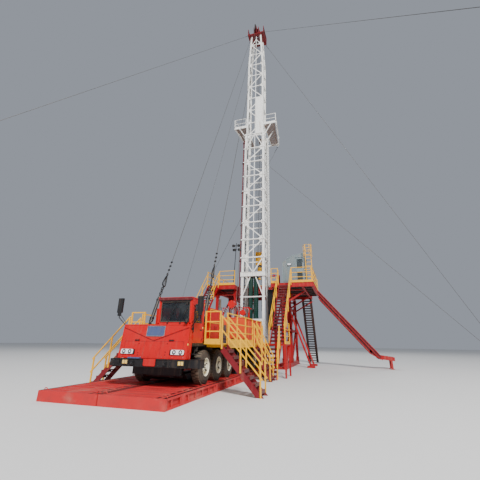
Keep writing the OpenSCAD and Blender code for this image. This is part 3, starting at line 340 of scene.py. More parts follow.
def ribbed_sheet():
    """Profiled steel sheet: a rib every 200 mm along Y with painted light and shade, and rain
    streaks.
    """
    s = Shade("ribbed_sheet")
    wave = (s.y * 5).modulo(1.0)
    rib = wave.ramp(0.12, 0.24) - wave.ramp(0.50, 0.62)
    streak = s.noise(3.0, 4, stretch=(2.4, 2.4, 0.2))
    # Painted light and shade: the ribs are painted lighter, the grooves between them darker.
    tone = s.mix(rib * 0.5, (0.119, 0.155, 0.167), (0.209, 0.245, 0.252))
    tone = s.mix(streak.ramp(0.50, 0.75) * 0.35, tone, DUST)
    s.bump(rib, 0.9, 0.05)
    return s.finish(tone, 0.36 + streak * 0.2)


def worn_mat():
    """The mats' red: swept where wheels run, sandy beside them, painted shade on the front face.
    """
    s = Shade("worn_mat")
    sand = s.noise(1.1, 6)
    plank = (s.y * 2.6).modulo(1.0)
    joint = plank.ramp(0.0, 0.05) - plank.ramp(0.95, 1.0)
    scuff = s.noise(5, 5, stretch=(1, 0.35, 1))
    tone = s.mix(scuff.ramp(0.45, 0.7) * 0.5, (0.52, 0.012, 0.014), (0.34, 0.030, 0.026))
    tone = s.mix((1 - joint) * 0.6, tone, (0.10, 0.03, 0.025))
    swept = s.x.ramp(-0.75, -0.45) - s.x.ramp(1.10, 1.40)
    tone = s.mix(sand.ramp(0.50, 0.70) * (0.50 - swept * 0.42), tone, (0.46, 0.25, 0.18))
    # Painted shade: the front face at the far end is darkened to stand for the shadow on it.
    front = (s.y * -1).ramp(17.690, 17.699)
    tone = s.mix(front * 0.85, tone, (0.070, 0.024, 0.020))
    s.bump(joint * 0.6 + sand * 0.4, 0.5, 0.012)
    return s.finish(tone, 0.62 + sand * 0.25)


tread_plate, sheet, mat_red = chequer_plate(), ribbed_sheet(), worn_mat()
print("plate, sheet and mats ready")

# %% [markdown]
# A lamp glows a little, so that it reads as a lamp by day. Fine ribs in its glass break the
# reflection into stripes.

# %% Lamps
def lamp(name, color, glow):
    s = Shade(name)
    s.bump(((s.x + s.y * 0.3) * 40).modulo(1.0), 0.2, 0.004)
    s.shader.inputs["Emission Strength"].default_value = glow
    s.shader.inputs["Emission Color"].default_value = (*color, 1)
    s.shader.inputs["Coat Weight"].default_value = 0.8
    haze = s.noise(8, 3)
    return s.finish(s.mix(haze * 0.3, color, (0.35, 0.32, 0.28)), 0.12 + haze * 0.12)


clear_lamp = lamp("clear_lamp", (0.80, 0.84, 0.88), 0.15)
amber_lamp = lamp("amber_lamp", (0.95, 0.42, 0.03), 0.12)
fog_yellow = lamp("fog_yellow", (0.86, 0.60, 0.10), 0.05)
tail_lamp = lamp("tail_lamp", (0.72, 0.02, 0.01), 0.08)
print("lamps ready")

# %% [markdown]
# Every CAD node keeps its shape and gets one of these finishes in its material slots. The
# colours follow the photograph: red for what carries load on the ground, yellow for what keeps
# people from falling, white for the mast, and black or brown where it is greasy.

# %% Dress the CAD nodes
FINISH = (
    (red_paint, "front_body cab cab_door side_cabinet"),
    (frame_red, "substructure_left substructure_right floor_beams rotary_table main_stair"
                " left_stair pipe_ramp"),
    (stair_red, "side_stair"), (pipe_red, "standpipe"), (crown_red, "crown_frame"),
    (orange_paint, "drawworks_frame"), (green_paint, "raising_rams"),
    (yellow_paint, "carrier_walkway walkway_rails side_stair_rails travelling_block floor_rails"
                   " cabin_ladder main_stair_rails left_stair_rails"),
    (white_paint, "mast_base mast_lower_front mast_lower_left mast_lower_right mast_upper_front"
                  " mast_upper_left mast_upper_right racking_rails mast_ladder"),
    (cream_paint, "wheel_rims"), (sheet, "driller_cabin"), (slat_brown, "racking_board"),
    (black_paint, "carrier_frame front_bumper headlamps mirrors cabin_door"),
    (brown_steel, "rear_stair"), (engine_grey, "engine_housing"), (machined, "drawworks_drum"),
    (greasy, "axles crown_sheaves"), (tread_plate, "floor_deck"), (mat_red, "carrier_mats"),
    (rubber, "tyres"), (glass, "window_glass"),
    (rope, "drilling_lines fast_line guy_front_left guy_front_right guy_rear_left"
           " guy_rear_right board_guy_left board_guy_right carrier_guys"),
)
dressed = set()
for finish, names in FINISH:
    for name in names.split():
        for place in nodes[name].material_slots:
            place.material = finish
        dressed.add(name)
print("dressed", len(dressed), "nodes; undressed:", sorted(set(nodes) - dressed))

# %% [markdown]
# The studio is a pale floor, a soft key light high on the camera's right, a weaker fill from
# the left, one from behind, and a dim pale world that keeps the lattice's shadows readable.

# %% Floor and lights
def soft_light(name, place, target, size, watts):
    data = bpy.data.lights.new(name, "AREA")
    data.shape = "DISK"
    data.size = size
    data.energy = watts
    light = bpy.data.objects.new(name, data)
    turned = (Vector(target) - Vector(place)).normalized().to_track_quat("-Z", "Y")
    light.matrix_world = Matrix.Translation(place) @ turned.to_matrix().to_4x4()
    bpy.context.scene.collection.objects.link(light)


STUDIO_HALF, STUDIO_Z = 140, -0.002
ground = bpy.data.meshes.new("studio_floor")
ground.from_pydata([(x * STUDIO_HALF, y * STUDIO_HALF, STUDIO_Z)
                    for x, y in ((-1, -1), (1, -1), (1, 1), (-1, 1))], [], [(0, 1, 2, 3)])
ground.materials.append(Shade("studio_floor").finish((0.72, 0.71, 0.69), 0.9))
studio_floor = bpy.data.objects.new("studio_floor", ground)
bpy.context.scene.collection.objects.link(studio_floor)

world = bpy.data.worlds.new("studio")
world.use_nodes = True
world.node_tree.nodes["Background"].inputs[0].default_value = (0.80, 0.87, 1.0, 1)
world.node_tree.nodes["Background"].inputs[1].default_value = 0.38
bpy.context.scene.world = world
soft_light("key", (30, -46, 40), (0, 2, 10), 14, 62000)
soft_light("fill", (-40, -30, 22), (0, 0, 10), 30, 5000)
soft_light("back", (-10, 50, 40), (0, 6, 16), 24, 9000)
print("studio ready")

# %% [markdown]
# Places are worked out in two sets of axes: the well's, where Y is 0 at the drill hole and the
# nose is at -16 m, and the mast's own, which lean 3.5 degrees.

# %% Places on the carrier and on the mast
LEAN = math.radians(3.5)
PIVOT_Y, PIVOT_Z = -2.589, 3.5


def well(x, y, z):
    """A point given from the well centre, in the row frame."""
    return Vector((x, y + WELL_Y, z))


def on_mast(x, y, z):
    """A point given in the mast's leaning axes, in the row frame."""
    return well(x, PIVOT_Y + y * math.cos(LEAN) + z * math.sin(LEAN),
                PIVOT_Z - y * math.sin(LEAN) + z * math.cos(LEAN))


def facing(way):
    """A turn that takes +Z to way."""
    return Vector(way).normalized().to_track_quat("Z", "Y").to_matrix().to_4x4()


def circle(n):
    """The angles of n even steps round a circle."""
    return [2 * math.pi * k / n for k in range(n)]


print("origin of the mast's axes:", tuple(round(c, 3) for c in on_mast(0, 0, 0)))

# %% [markdown]
# The Metalwork class gathers plates, bars, rods and rings into one mesh, because a piece made
# of a hundred small parts is far quicker to handle than a hundred objects.

# %% Gathering small steel parts
BOX_FACES = (0, 1, 3, 2), (4, 6, 7, 5), (0, 4, 5, 1), (2, 3, 7, 6), (0, 2, 6, 4), (1, 5, 7, 3)
BAR_FACES = (0, 3, 2, 1), (4, 5, 6, 7), (0, 1, 5, 4), (1, 2, 6, 5), (2, 3, 7, 6), (3, 0, 4, 7)


class Metalwork:
    """Gathers small parts into one mesh, then makes one piece of them."""

    def __init__(self):
        self.mesh = bmesh.new()

    def solid(self, corners, faces):
        """Adds the corners, and faces that name them by number."""
        v = [self.mesh.verts.new(p) for p in corners]
        for face in faces:
            self.mesh.faces.new([v[i] for i in face])

    def plate(self, low, high, frame_of=well):
        """A box between two corners, in the axes that frame_of gives."""
        self.solid([frame_of(x, y, z) for x in (low[0], high[0]) for y in (low[1], high[1])
                    for z in (low[2], high[2])], BOX_FACES)

    def pair(self, low, high, frame_of=well):
        """A box and its twin on the other side of the rig."""
        self.plate((-high[0], *low[1:]), (-low[0], *high[1:]), frame_of)
        self.plate(low, high, frame_of)

    def bar(self, a, b, wide, thick, side=(0, 0, 1)):
        """A box-section bar from a to b; wide lies across side."""
        a, b = Vector(a), Vector(b)
        way = (b - a).normalized()
        across = way.cross(Vector(side))
        if across.length < 1e-4:
            across = way.cross(Vector((1, 0, 0)))
        across.normalize()
        up_way = across.cross(way)
        self.solid([p + across * (sx * wide / 2) + up_way * (sz * thick / 2)
                    for p in (a, b) for sx, sz in ((-1, -1), (1, -1), (1, 1), (-1, 1))], BAR_FACES)

    def border(self, put, low, high, wide, thick, side):
        """Four bars round a rectangle; put turns its two numbers into a place."""
        (u0, v0), (u1, v1) = low, high
        for a, b in (((u0, v0), (u1, v0)), ((u0, v1), (u1, v1)),
                     ((u0, v0), (u0, v1)), ((u1, v0), (u1, v1))):
            self.bar(put(*a), put(*b), wide, thick, side)

    def rod(self, a, b, r, sides=12, r_end=None):
        a, b = Vector(a), Vector(b)
        made = bmesh.ops.create_cone(self.mesh, cap_ends=True, segments=sides, radius1=r,
                                     radius2=r if r_end is None else r_end, depth=(b - a).length)
        bmesh.ops.transform(self.mesh, verts=made["verts"],
                            matrix=Matrix.Translation((a + b) / 2) @ facing(b - a))

    def ring(self, centre, axis, r, thick, turns=24, sides=8, part=1.0):
        """A round ring, or an open part of one."""
        place = Matrix.Translation(centre) @ facing(axis)
        rows = []
        for i in range(turns + 1 if part < 1 else turns):
            a = 2 * math.pi * part * i / turns
            rows.append([self.mesh.verts.new(place @ Vector((
                math.cos(a) * (r + thick * math.cos(b)), math.sin(a) * (r + thick * math.cos(b)),
                thick * math.sin(b)))) for b in circle(sides)])
        for i in range(turns):
            one, two = rows[i], rows[(i + 1) % len(rows)]
            for k in range(sides):
                j = (k + 1) % sides
                self.mesh.faces.new((one[k], two[k], two[j], one[j]))
        if part < 1:
            self.mesh.faces.new(rows[0])
            self.mesh.faces.new(rows[-1][::-1])

    def prism(self, outline, thick, place):
        """A flat outline given thickness along place's own Z."""
        low = [self.mesh.verts.new(place @ Vector((x, y, 0))) for x, y in outline]
        high = [self.mesh.verts.new(place @ Vector((x, y, thick))) for x, y in outline]
        self.mesh.faces.new(low[::-1])
        self.mesh.faces.new(high)
        for i in range(len(outline)):
            j = (i + 1) % len(outline)
            self.mesh.faces.new((low[i], low[j], high[j], high[i]))

    def make(self, name, finish, body="rig", bevel=0.0):
        bmesh.ops.recalc_face_normals(self.mesh, faces=self.mesh.faces)
        data = bpy.data.meshes.new(name)
        self.mesh.to_mesh(data)
        self.mesh.free()
        data.materials.append(finish)
        piece = bpy.data.objects.new(name, data)
        bpy.context.scene.collection.objects.link(piece)
        if bevel:
            edge = piece.modifiers.new("edge", "BEVEL")
            edge.width = bevel
            edge.segments = 2
            edge.limit_method = "ANGLE"
        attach(piece, body)
        print(name, len(data.polygons), "faces")


print("Metalwork makes plates, pairs, bars, borders, rods, rings and prisms")

# %% [markdown]
# Bolts, screws and wheel nuts are one shape repeated at many places, and hoses, cables and the
# wound rope are one section swept along many lines. Two Geometry Nodes trees do all of that.
# Both end in Realize Instances and Set Material, and the result is kept as plain mesh.

# %% Making and running a tree
def new_tree(name, numbers, kinds):
    """Gives the tree, its named inputs, a node of each kind, and its Realize Instances."""
    tree = bpy.data.node_groups.new(name, "GeometryNodeTree")
    tree.interface.new_socket("Geometry", in_out="INPUT", socket_type="NodeSocketGeometry")
    for label, start in numbers.items():
        kind = "NodeSocketInt" if isinstance(start, int) else "NodeSocketFloat"
        s = tree.interface.new_socket(label, in_out="INPUT", socket_type=kind)
        s.default_value = start
    tree.interface.new_socket("Finish", in_out="INPUT", socket_type="NodeSocketMaterial")
    tree.interface.new_socket("Geometry", in_out="OUTPUT", socket_type="NodeSocketGeometry")
    real, coat, end = (tree.nodes.new(kind) for kind in (
        "GeometryNodeRealizeInstances", "GeometryNodeSetMaterial", "NodeGroupOutput"))
    start = tree.nodes.new("NodeGroupInput")
    join(tree, (real, "Geometry", coat, "Geometry"), (start, "Finish", coat, "Material"),
         (coat, "Geometry", end, "Geometry"))
    return tree, start, *(tree.nodes.new(kind) for kind in kinds), real


def join(tree, *links):
    """Adds the links to the tree; each is (node, output, node, input)."""
    for one, out, two, into in links:
        tree.links.new(one.outputs[out], two.inputs[into])


def run_tree(tree, data, name, finish, body, values):
    """Runs the tree on data, keeps the result as a plain mesh and lets it ride on body."""
    seed = bpy.data.objects.new(name + "_seed", data)
    bpy.context.scene.collection.objects.link(seed)
    step = seed.modifiers.new("grow", "NODES")
    step.node_group = tree
    values = {**values, "Finish": finish}
    for item in tree.interface.items_tree:
        if item.in_out == "INPUT" and item.name in values:
            step[item.identifier] = values[item.name]
    graph = bpy.context.evaluated_depsgraph_get()
    graph.update()
    grown = bpy.data.meshes.new_from_object(seed.evaluated_get(graph))
    grown.name = name
    bpy.data.objects.remove(seed)
    piece = bpy.data.objects.new(name, grown)
    bpy.context.scene.collection.objects.link(piece)
    if not grown.materials:
        grown.materials.append(finish)
    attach(piece, body)
    print(name, len(grown.polygons), "faces")


print("new_tree, join and run_tree ready")

# %% [markdown]
# The first tree puts a stud on each point of a mesh. A named attribute of the points, aim, says
# which way each stud turns, so one call can put bolts on walls, floors and round flanges.

# %% The tree for studs
stud_tree, ask, disc, aim, turn, put, real = new_tree(
    "studs", {"Radius": 0.02, "Height": 0.02, "Sides": 6},
    ("GeometryNodeMeshCylinder", "GeometryNodeInputNamedAttribute",
     "FunctionNodeAlignRotationToVector", "GeometryNodeInstanceOnPoints"))
aim.data_type = "FLOAT_VECTOR"
aim.inputs["Name"].default_value = "aim"
turn.axis = "Z"
join(stud_tree, (ask, "Radius", disc, "Radius"), (ask, "Height", disc, "Depth"),
     (ask, "Sides", disc, "Vertices"), (aim, "Attribute", turn, "Vector"),
     (ask, "Geometry", put, "Points"), (disc, "Mesh", put, "Instance"),
     (turn, "Rotation", put, "Rotation"), (put, "Instances", real, "Geometry"))


def studs(name, spots, r, height, finish, body="rig", sides=6):
    """One stud at each (place, direction)."""
    data = bpy.data.meshes.new(name)
    data.from_pydata([tuple(p) for p, _ in spots], [], [])
    way = data.attributes.new("aim", "FLOAT_VECTOR", "POINT")
    for i, (_, d) in enumerate(spots):
        way.data[i].vector = Vector(d).normalized()
    run_tree(stud_tree, data, name, finish, body, {"Radius": r, "Height": height, "Sides": sides})


print("stud tree:", len(stud_tree.nodes), "nodes")

# %% [markdown]
# The second tree turns chains of edges into curves and sweeps a circle along them. A hose needs
# only a few points then: curve_through finds the smooth line between them.

# %% The tree for tubes
tube_tree, ask, chain, section, sweep, real = new_tree(
    "tubes", {"Radius": 0.02, "Sides": 8},
    ("GeometryNodeMeshToCurve", "GeometryNodeCurvePrimitiveCircle", "GeometryNodeCurveToMesh"))
sweep.inputs["Fill Caps"].default_value = True
join(tube_tree, (ask, "Geometry", chain, "Mesh"), (ask, "Radius", section, "Radius"),
     (ask, "Sides", section, "Resolution"), (chain, "Curve", sweep, "Curve"),
     (section, "Curve", sweep, "Profile Curve"), (sweep, "Mesh", real, "Geometry"))


def tubes(name, lines, r, finish, body="rig", sides=8):
    """One round tube along each list of points."""
    points, edges = [], []
    for line in lines:
        first = len(points)
        points += [tuple(p) for p in line]
        edges += [(first + i, first + i + 1) for i in range(len(line) - 1)]
    data = bpy.data.meshes.new(name)
    data.from_pydata(points, edges, [])
    run_tree(tube_tree, data, name, finish, body, {"Radius": r, "Sides": sides})


def curve_through(points, steps=8):
    """A smooth line through the points."""
    ends = [points[0] * 2 - points[1], *points, points[-1] * 2 - points[-2]]
    line = []
    for i in range(1, len(ends) - 2):
        p0, p1, p2, p3 = ends[i - 1:i + 3]
        for k in range(steps):
            t = k / steps
            line.append(0.5 * (2 * p1 + (p2 - p0) * t + (2 * p0 - 5 * p1 + 4 * p2 - p3) * t * t
                               + (3 * p1 - p0 - 3 * p2 + p3) * t ** 3))
    return [*line, points[-1]]


print("tube tree:", len(tube_tree.nodes), "nodes")

# %% [markdown]
# The nose is one raked sheet with a pressed crease. On the real one the crease runs from below
# the upper corners to the middle, just above the seam where the lower flap starts. Raised
# strips with a soft edge read as a pressing; dark strips set flush read as the gaps round the
# flap. The plate in the middle stays bare.

# %% The nose: crease, seams and latches
NOSE_FOOT, NOSE_TOP = Vector((0, -16.03, 1.19)), Vector((0, -15.87, 2.30))
NOSE_OUT = Vector((0, -1.11, 0.16)).normalized()
SEAM_Z = 1.735


def on_nose(x, z, out=0.0):
    """A place on the raked sheet, or out in front of it."""
    t = (z - NOSE_FOOT.z) / (NOSE_TOP.z - NOSE_FOOT.z)
    y = NOSE_FOOT.y + t * (NOSE_TOP.y - NOSE_FOOT.y)
    return well(x, y, z) + NOSE_OUT * out


def strips(piece, spans, out, wide, thick):
    """A flat strip on the nose along each span from (x, z) to (x, z)."""
    for a, b in spans:
        piece.bar(on_nose(*a, out), on_nose(*b, out), wide, thick, NOSE_OUT)


crease = Metalwork()
strips(crease, (((-1.31, 2.215), (0.0, 1.775)), ((0.0, 1.775), (1.31, 2.215))),
       0.004, 0.030, 0.050)
strips(crease, (((-1.315, 1.20), (-1.315, 2.29)), ((1.315, 1.20), (1.315, 2.29)),
                ((-1.32, 2.285), (1.32, 2.285))), 0.0, 0.03, 0.024)
crease.make("nose_crease", red_paint, bevel=0.006)

seams = Metalwork()
strips(seams, [((-1.16, SEAM_Z), (1.16, SEAM_Z))], 0.001, 0.010, 0.006)
strips(seams, [((x, 1.21), (x, SEAM_Z)) for x in (-1.16, -0.36, 0.30, 1.16)], 0.001, 0.009, 0.006)
strips(seams, (((-1.29, 2.175), (0.0, 1.747)), ((0.0, 1.747), (1.29, 2.175))),
       0.001, 0.016, 0.006)
seams.make("nose_seams", paint("seam_dark", (0.20, 0.010, 0.012), dust=0.3, rust=0.2))

latches = Metalwork()
strips(latches, [((x - 0.09, SEAM_Z + 0.035), (x + 0.09, SEAM_Z + 0.035)) for x in (-0.66, 0.70)],
       0.018, 0.035, 0.036)
for x, z in ((-0.57, 1.655), (0.55, 1.665), (-0.55, 1.36), (-0.55, 1.29), (0.52, 1.40),
             (0.52, 1.31)):
    latches.rod(on_nose(x, z), on_nose(x, z, 0.012), 0.016)
latches.make("nose_latches", black_paint, bevel=0.004)

# %% [markdown]
# The plate in the middle of the nose has a bright frame of four strips, and screws hold both
# the frame and the foot of the sheet.

# %% The bare plate and its frame
badge, face = Metalwork(), Metalwork()
strips(badge, (((-0.33, 1.905), (0.37, 1.905)), ((-0.33, 2.235), (0.37, 2.235)),
               ((-0.33, 1.89), (-0.33, 2.25)), ((0.37, 1.89), (0.37, 2.25))), 0.008, 0.024, 0.026)
badge.make("badge_frame", machined, bevel=0.003)
strips(face, [((-0.32, 2.07), (0.36, 2.07))], 0.005, 0.32, 0.010)
face.make("badge_plate", blue_grey)
screws = [(x, z) for x in (-0.30, 0.34) for z in (1.925, 2.215)]
screws += [(x, 1.24) for x in (-1.2, -0.8, -0.42, 0.40, 0.8, 1.2)]
studs("nose_screws", [(on_nose(x, z, 0.004), NOSE_OUT) for x, z in screws], 0.012, 0.010, machined)

# %% [markdown]
# Each lamp cluster is a surround with rounded corners and two round reflectors behind ribbed
# glass. The pale surround is what shines in the photograph, so it gets a glossy paint, and each
# reflector a clear lens of its own.

# %% Headlamps
LAMP_IN, LAMP_OUT, LAMP_Z, CORNER = 0.745, 1.225, 1.395, 0.038
right_x, left_x = LAMP_OUT - 0.035, LAMP_IN + 0.035
rounded = []
for cx, cz, first in ((right_x, LAMP_Z + CORNER, 0), (left_x, LAMP_Z + CORNER, 90),
                      (left_x, LAMP_Z - CORNER, 180), (right_x, LAMP_Z - CORNER, 270)):
    for a in (math.radians(first + 22.5 * k) for k in range(5)):
        rounded.append((cx + CORNER * math.cos(a), cz + CORNER * math.sin(a)))
up_nose = (NOSE_TOP - NOSE_FOOT).normalized()
turned = Matrix((Vector((1, 0, 0)), up_nose, NOSE_OUT)).transposed().to_4x4()
lamp_place = Matrix.Translation(on_nose(0, LAMP_Z, 0.026)) @ turned

surround, lens, reflector = Metalwork(), Metalwork(), Metalwork()
for side in SIDES:
    surround.prism([(side * x, z - LAMP_Z) for x, z in rounded], 0.014, lamp_place)
    for x in (0.865, 1.105):
        c = on_nose(side * x, LAMP_Z, 0.040)
        reflector.ring(c, NOSE_OUT, 0.060, 0.011)
        reflector.rod(c - NOSE_OUT * 0.004, c + NOSE_OUT * 0.004, 0.058, 24)
        lens.rod(c, c + NOSE_OUT * 0.012, 0.036, 24, 0.026)
lamp_white = paint("lamp_white", (0.86, 0.86, 0.85), 0, 0.12, 0.1, 0.15)
surround.make("lamp_surrounds", lamp_white, bevel=0.004)
reflector.make("lamp_bowls", black_paint)
lens.make("lamp_lenses", clear_lamp, bevel=0.005)

# %% [markdown]
# The bumper is a channel: its folded edges stand out above and below, with yellow fog lamps,
# towing eyes and bolts between them, and a small step on top.

# %% The front bumper
BUMPER_Y = -16.165
fog, fog_case, trim = Metalwork(), Metalwork(), Metalwork()
for x in (-0.92, 1.205):
    fog_case.plate((x - 0.115, BUMPER_Y, 0.995), (x + 0.115, -16.12, 1.150))
    for x0, x1 in ((-0.095, -0.008), (0.008, 0.095)):
        fog.plate((x + x0, -16.180, 1.015), (x + x1, -16.160, 1.130))
fog.make("fog_lamps", fog_yellow, bevel=0.012)
fog_case.make("fog_lamp_cases", greasy, bevel=0.008)
trim.plate((-0.20, BUMPER_Y, 0.985), (0.26, -16.145, 1.185))
trim.plate((-0.185, BUMPER_Y, 0.960), (0.245, -16.150, 0.990))
trim.make("tow_plate", red_paint, bevel=0.006)
step = Metalwork()
step.plate((-0.84, BUMPER_Y, 1.183), (-0.38, -16.04, 1.225))
step.make("front_step", blue_grey, bevel=0.004)

hooks = Metalwork()
for x in (-0.62, 0.62):
    hooks.ring(well(x, -16.17, 1.02), (1, 0, 0), 0.055, 0.018)
    hooks.plate((x - 0.03, -16.15, 0.96), (x + 0.03, -16.115, 1.12))
for z in (1.155, 0.930):
    hooks.plate((-1.455, -16.14, z), (1.345, -16.105, z + 0.025))
hooks.make("bumper_edges", black_paint, bevel=0.006)
studs("bumper_bolts", [(well(x, -16.121, z), (0, -1, 0))
                       for x in (-1.40, -0.80, -0.30, 0.36, 0.80, 1.28) for z in (0.98, 1.13)],
      0.018, 0.024, greasy)

# %% [markdown]
# The cab is a welded box with a rubber-framed windscreen and side window, pressed edges and a
# visor under the roof. The rubbers are borders of four bars that stand proud of the glass.

# %% Cab windows and pressings
CAB_FRONT, SILL_Z, HEAD_Z = -15.84, 2.39, 3.07
rubber_frame, red_trim, visor = Metalwork(), Metalwork(), Metalwork()
rubber_frame.border(lambda x, z: well(x, CAB_FRONT, z), (0.12, SILL_Z), (1.24, HEAD_Z),
                    0.034, 0.030, (0, 1, 0))
rubber_frame.border(lambda y, z: well(0.01, y, z), (-15.71, SILL_Z), (-14.88, HEAD_Z),
                    0.034, 0.026, (1, 0, 0))
rubber_frame.make("cab_window_rubbers", rubber, bevel=0.006)

# The visor is painted a darker red than the cab: painted shade under the roof's edge.
visor.plate((-0.02, -15.905, 3.128), (1.35, -15.835, 3.205))
visor.plate((0.02, -15.90, 3.203), (1.32, -15.84, 3.222))
visor.make("cab_visor", pipe_red, bevel=0.008)
for x in (0.045, 1.29):
    red_trim.plate((x - 0.030, -15.868, 2.30), (x + 0.030, -15.838, 3.10))
red_trim.plate((0.02, -15.868, 2.29), (1.32, -15.838, 2.355))
red_trim.plate((1.325, -15.835, 2.26), (1.345, -15.66, 3.20))
red_trim.plate((1.325, -14.83, 1.74), (1.345, -14.76, 3.20))
red_trim.make("cab_pressings", red_paint, bevel=0.010)

# %% [markdown]
# Small black parts tell that the cab is used: two wipers, a grab handle beside the door, round
# lamps and caps, and the seal behind the door. A black strip under the visor is painted shadow.

# %% Wipers, handle and seal of the cab
HANDLE_Y = -15.70
black_trim_and_shadow = Metalwork()
# Painted shadow: the black strip under the visor.
black_trim_and_shadow.plate((0.06, -15.870, 3.085), (1.28, -15.838, 3.133))
for x in (0.42, 0.92):
    tip = x + 0.20
    black_trim_and_shadow.rod(well(x, -15.875, 2.36), well(tip, -15.872, 2.74), 0.009, 8)
    black_trim_and_shadow.bar(well(tip - 0.14, -15.868, 2.60), well(tip + 0.10, -15.868, 2.90),
                   0.016, 0.014, (0, 1, 0))
    black_trim_and_shadow.rod(well(x, -15.862, 2.335), well(x, -15.90, 2.335), 0.024, 12)
black_trim_and_shadow.rod(well(1.375, HANDLE_Y, 2.05), well(1.375, HANDLE_Y, 2.95), 0.014, 10)
for z in (2.05, 2.95):
    black_trim_and_shadow.rod(well(1.33, HANDLE_Y, z), well(1.378, HANDLE_Y, z), 0.013, 8)
black_trim_and_shadow.rod(well(1.14, -15.875, 3.02), well(1.14, -15.835, 3.02), 0.045, 16)
black_trim_and_shadow.rod(well(1.20, -15.98, 2.34), well(1.20, -15.90, 2.46), 0.055, 16)
black_trim_and_shadow.rod(well(1.335, -15.74, 2.16), well(1.365, -15.74, 2.16), 0.050, 20)
seal = [well(1.338, y, z) for y, z in ((-14.80, 2.30), (-14.80, 1.95), (-14.83, 1.83),
                                       (-14.92, 1.78))]
for a, b in zip(seal, seal[1:]):
    black_trim_and_shadow.rod(a, b, 0.010, 8)
black_trim_and_shadow.make("cab_black_trim_and_shadow", black_paint, bevel=0.003)

# %% [markdown]
# The door's own trim rides on the door's body, so that it swings with it.

# %% The cab door's trim
door_trim, door_glass, marks = Metalwork(), Metalwork(), Metalwork()
door_trim.border(lambda y, z: well(1.332, y, z), (-15.55, 2.39), (-14.93, 3.01),
                 0.030, 0.018, (1, 0, 0))
door_trim.plate((1.330, -15.05, 2.12), (1.352, -14.90, 2.16))
door_trim.make("cab_door_rubbers", rubber, body="cab_door_body", bevel=0.004)
door_glass.plate((1.298, -15.56, 2.385), (1.306, -14.92, 3.015))
door_glass.make("cab_door_glass", glass, body="cab_door_body")
marks.plate((1.331, -14.84, 2.18), (1.352, -14.79, 2.26))
marks.plate((1.315, -16.0, 1.62), (1.340, -15.93, 1.68))
marks.make("marker_lamps", amber_lamp, bevel=0.010)

# %% [markdown]
# The windows show a seat and a steering wheel as dark shapes. The mirrors stand out on both
# sides, each a tall glass above a small one, held by three short clamps and a long arm.

# %% Seat, steering wheel and mirrors
THIRD = 2.094         # a third of a turn, in radians
seat_work = Metalwork()
seat_work.plate((0.40, -15.30, 1.80), (0.95, -14.95, 2.35))
seat_work.plate((0.42, -15.05, 2.30), (0.93, -14.92, 2.95))
seat_work.make("cab_seat", black_paint, bevel=0.03)
wheel, hub = Metalwork(), well(0.68, -15.52, 2.47)
wheel.ring(hub, (0, -0.45, 1), 0.21, 0.014)
wheel.rod(hub, well(0.68, -15.70, 2.05), 0.03)
for a in (0, THIRD, 2 * THIRD):
    way = Vector((math.cos(a), math.sin(a) * 0.91, math.sin(a) * 0.41))
    wheel.rod(hub, hub + way * 0.21, 0.010, 6)
wheel.make("steering_wheel", black_paint)

MIRROR_X = 1.66
arms, heads = Metalwork(), Metalwork()
heads.pair((MIRROR_X - 0.088, -15.885, 2.79), (MIRROR_X + 0.088, -15.805, 3.235))
heads.pair((MIRROR_X - 0.075, -15.885, 2.60), (MIRROR_X + 0.075, -15.825, 2.76))
for side in SIDES:
    for z in (2.72, 2.66, 3.0):
        arms.rod(well(side * 1.64, -15.86, z), well(side * MIRROR_X, -15.80, z), 0.014, 8)
    arms.rod(well(side * 1.34, -15.80, 2.35), well(side * 1.63, -15.86, 2.68), 0.012, 8)
heads.make("mirror_heads", black_paint, bevel=0.022)
arms.make("mirror_brackets", black_paint)

# %% [markdown]
# A tyre this size has deep cross lugs, which are what catches the dust. The lugs are blocks set
# round the tread by angle, two staggered rows to a tyre, and the side wall gets two moulded
# rings. The rims get their wheel nuts, a hub cap and the bead ring.

# %% Tyres and rims
AXLES = [-14.40, -13.07, -11.74, -7.20, -5.87, -4.54]
WHEELS = [(y, side) for y in AXLES for side in SIDES]
WHEEL_Z, TYRE_R, TYRE_IN, TYRE_OUT = 0.8753, 0.575, 0.98, 1.38
LUGS, LUG_HALF = 30, Vector((0.066, 0, 0))

lugs, walls, hubs, nuts = Metalwork(), Metalwork(), Metalwork(), []
for y, side in WHEELS:
    for k in range(LUGS):
        for row in (0, 1):
            a = 2 * math.pi * k / LUGS + row * math.pi / LUGS
            way = Vector((0, math.cos(a), math.sin(a)))
            x = TYRE_IN + 0.065 + row * 0.14 + 0.065
            mid = well(side * x, y, WHEEL_Z) + way * (TYRE_R - 0.006)
            lugs.bar(mid - LUG_HALF, mid + LUG_HALF, 0.078, 0.024, way)
    for x, r in ((TYRE_OUT - 0.004, 0.445), (TYRE_OUT - 0.004, 0.345), (TYRE_IN + 0.004, 0.445)):
        walls.ring(well(side * x, y, WHEEL_Z), (1, 0, 0), r, 0.009, 36, 6)
    hubs.ring(well(side * (TYRE_OUT - 0.012), y, WHEEL_Z), (1, 0, 0), 0.300, 0.014, 32, 8)
    hubs.rod(well(side * 1.235, y, WHEEL_Z), well(side * 1.430, y, WHEEL_Z), 0.088, 20, 0.070)
    hubs.ring(well(side * 1.250, y, WHEEL_Z), (1, 0, 0), 0.135, 0.016, 24, 8)
    nuts += [(well(side * 1.384, y + 0.118 * math.cos(a), WHEEL_Z + 0.118 * math.sin(a)),
              (side, 0, 0)) for a in circle(10)]
lugs.make("tyre_lugs", lug_rubber)
walls.make("tyre_wall_rings", rubber)
hubs.make("rim_rings_and_caps", cream_paint)
studs("wheel_nuts", nuts, 0.019, 0.036, greasy)

# %% [markdown]
# The mats that the rig parks on are steel boxes with upright stiffeners along their sides and
# lifting eyes at the corners. Ribs run across the top, and dark grooves run along it.

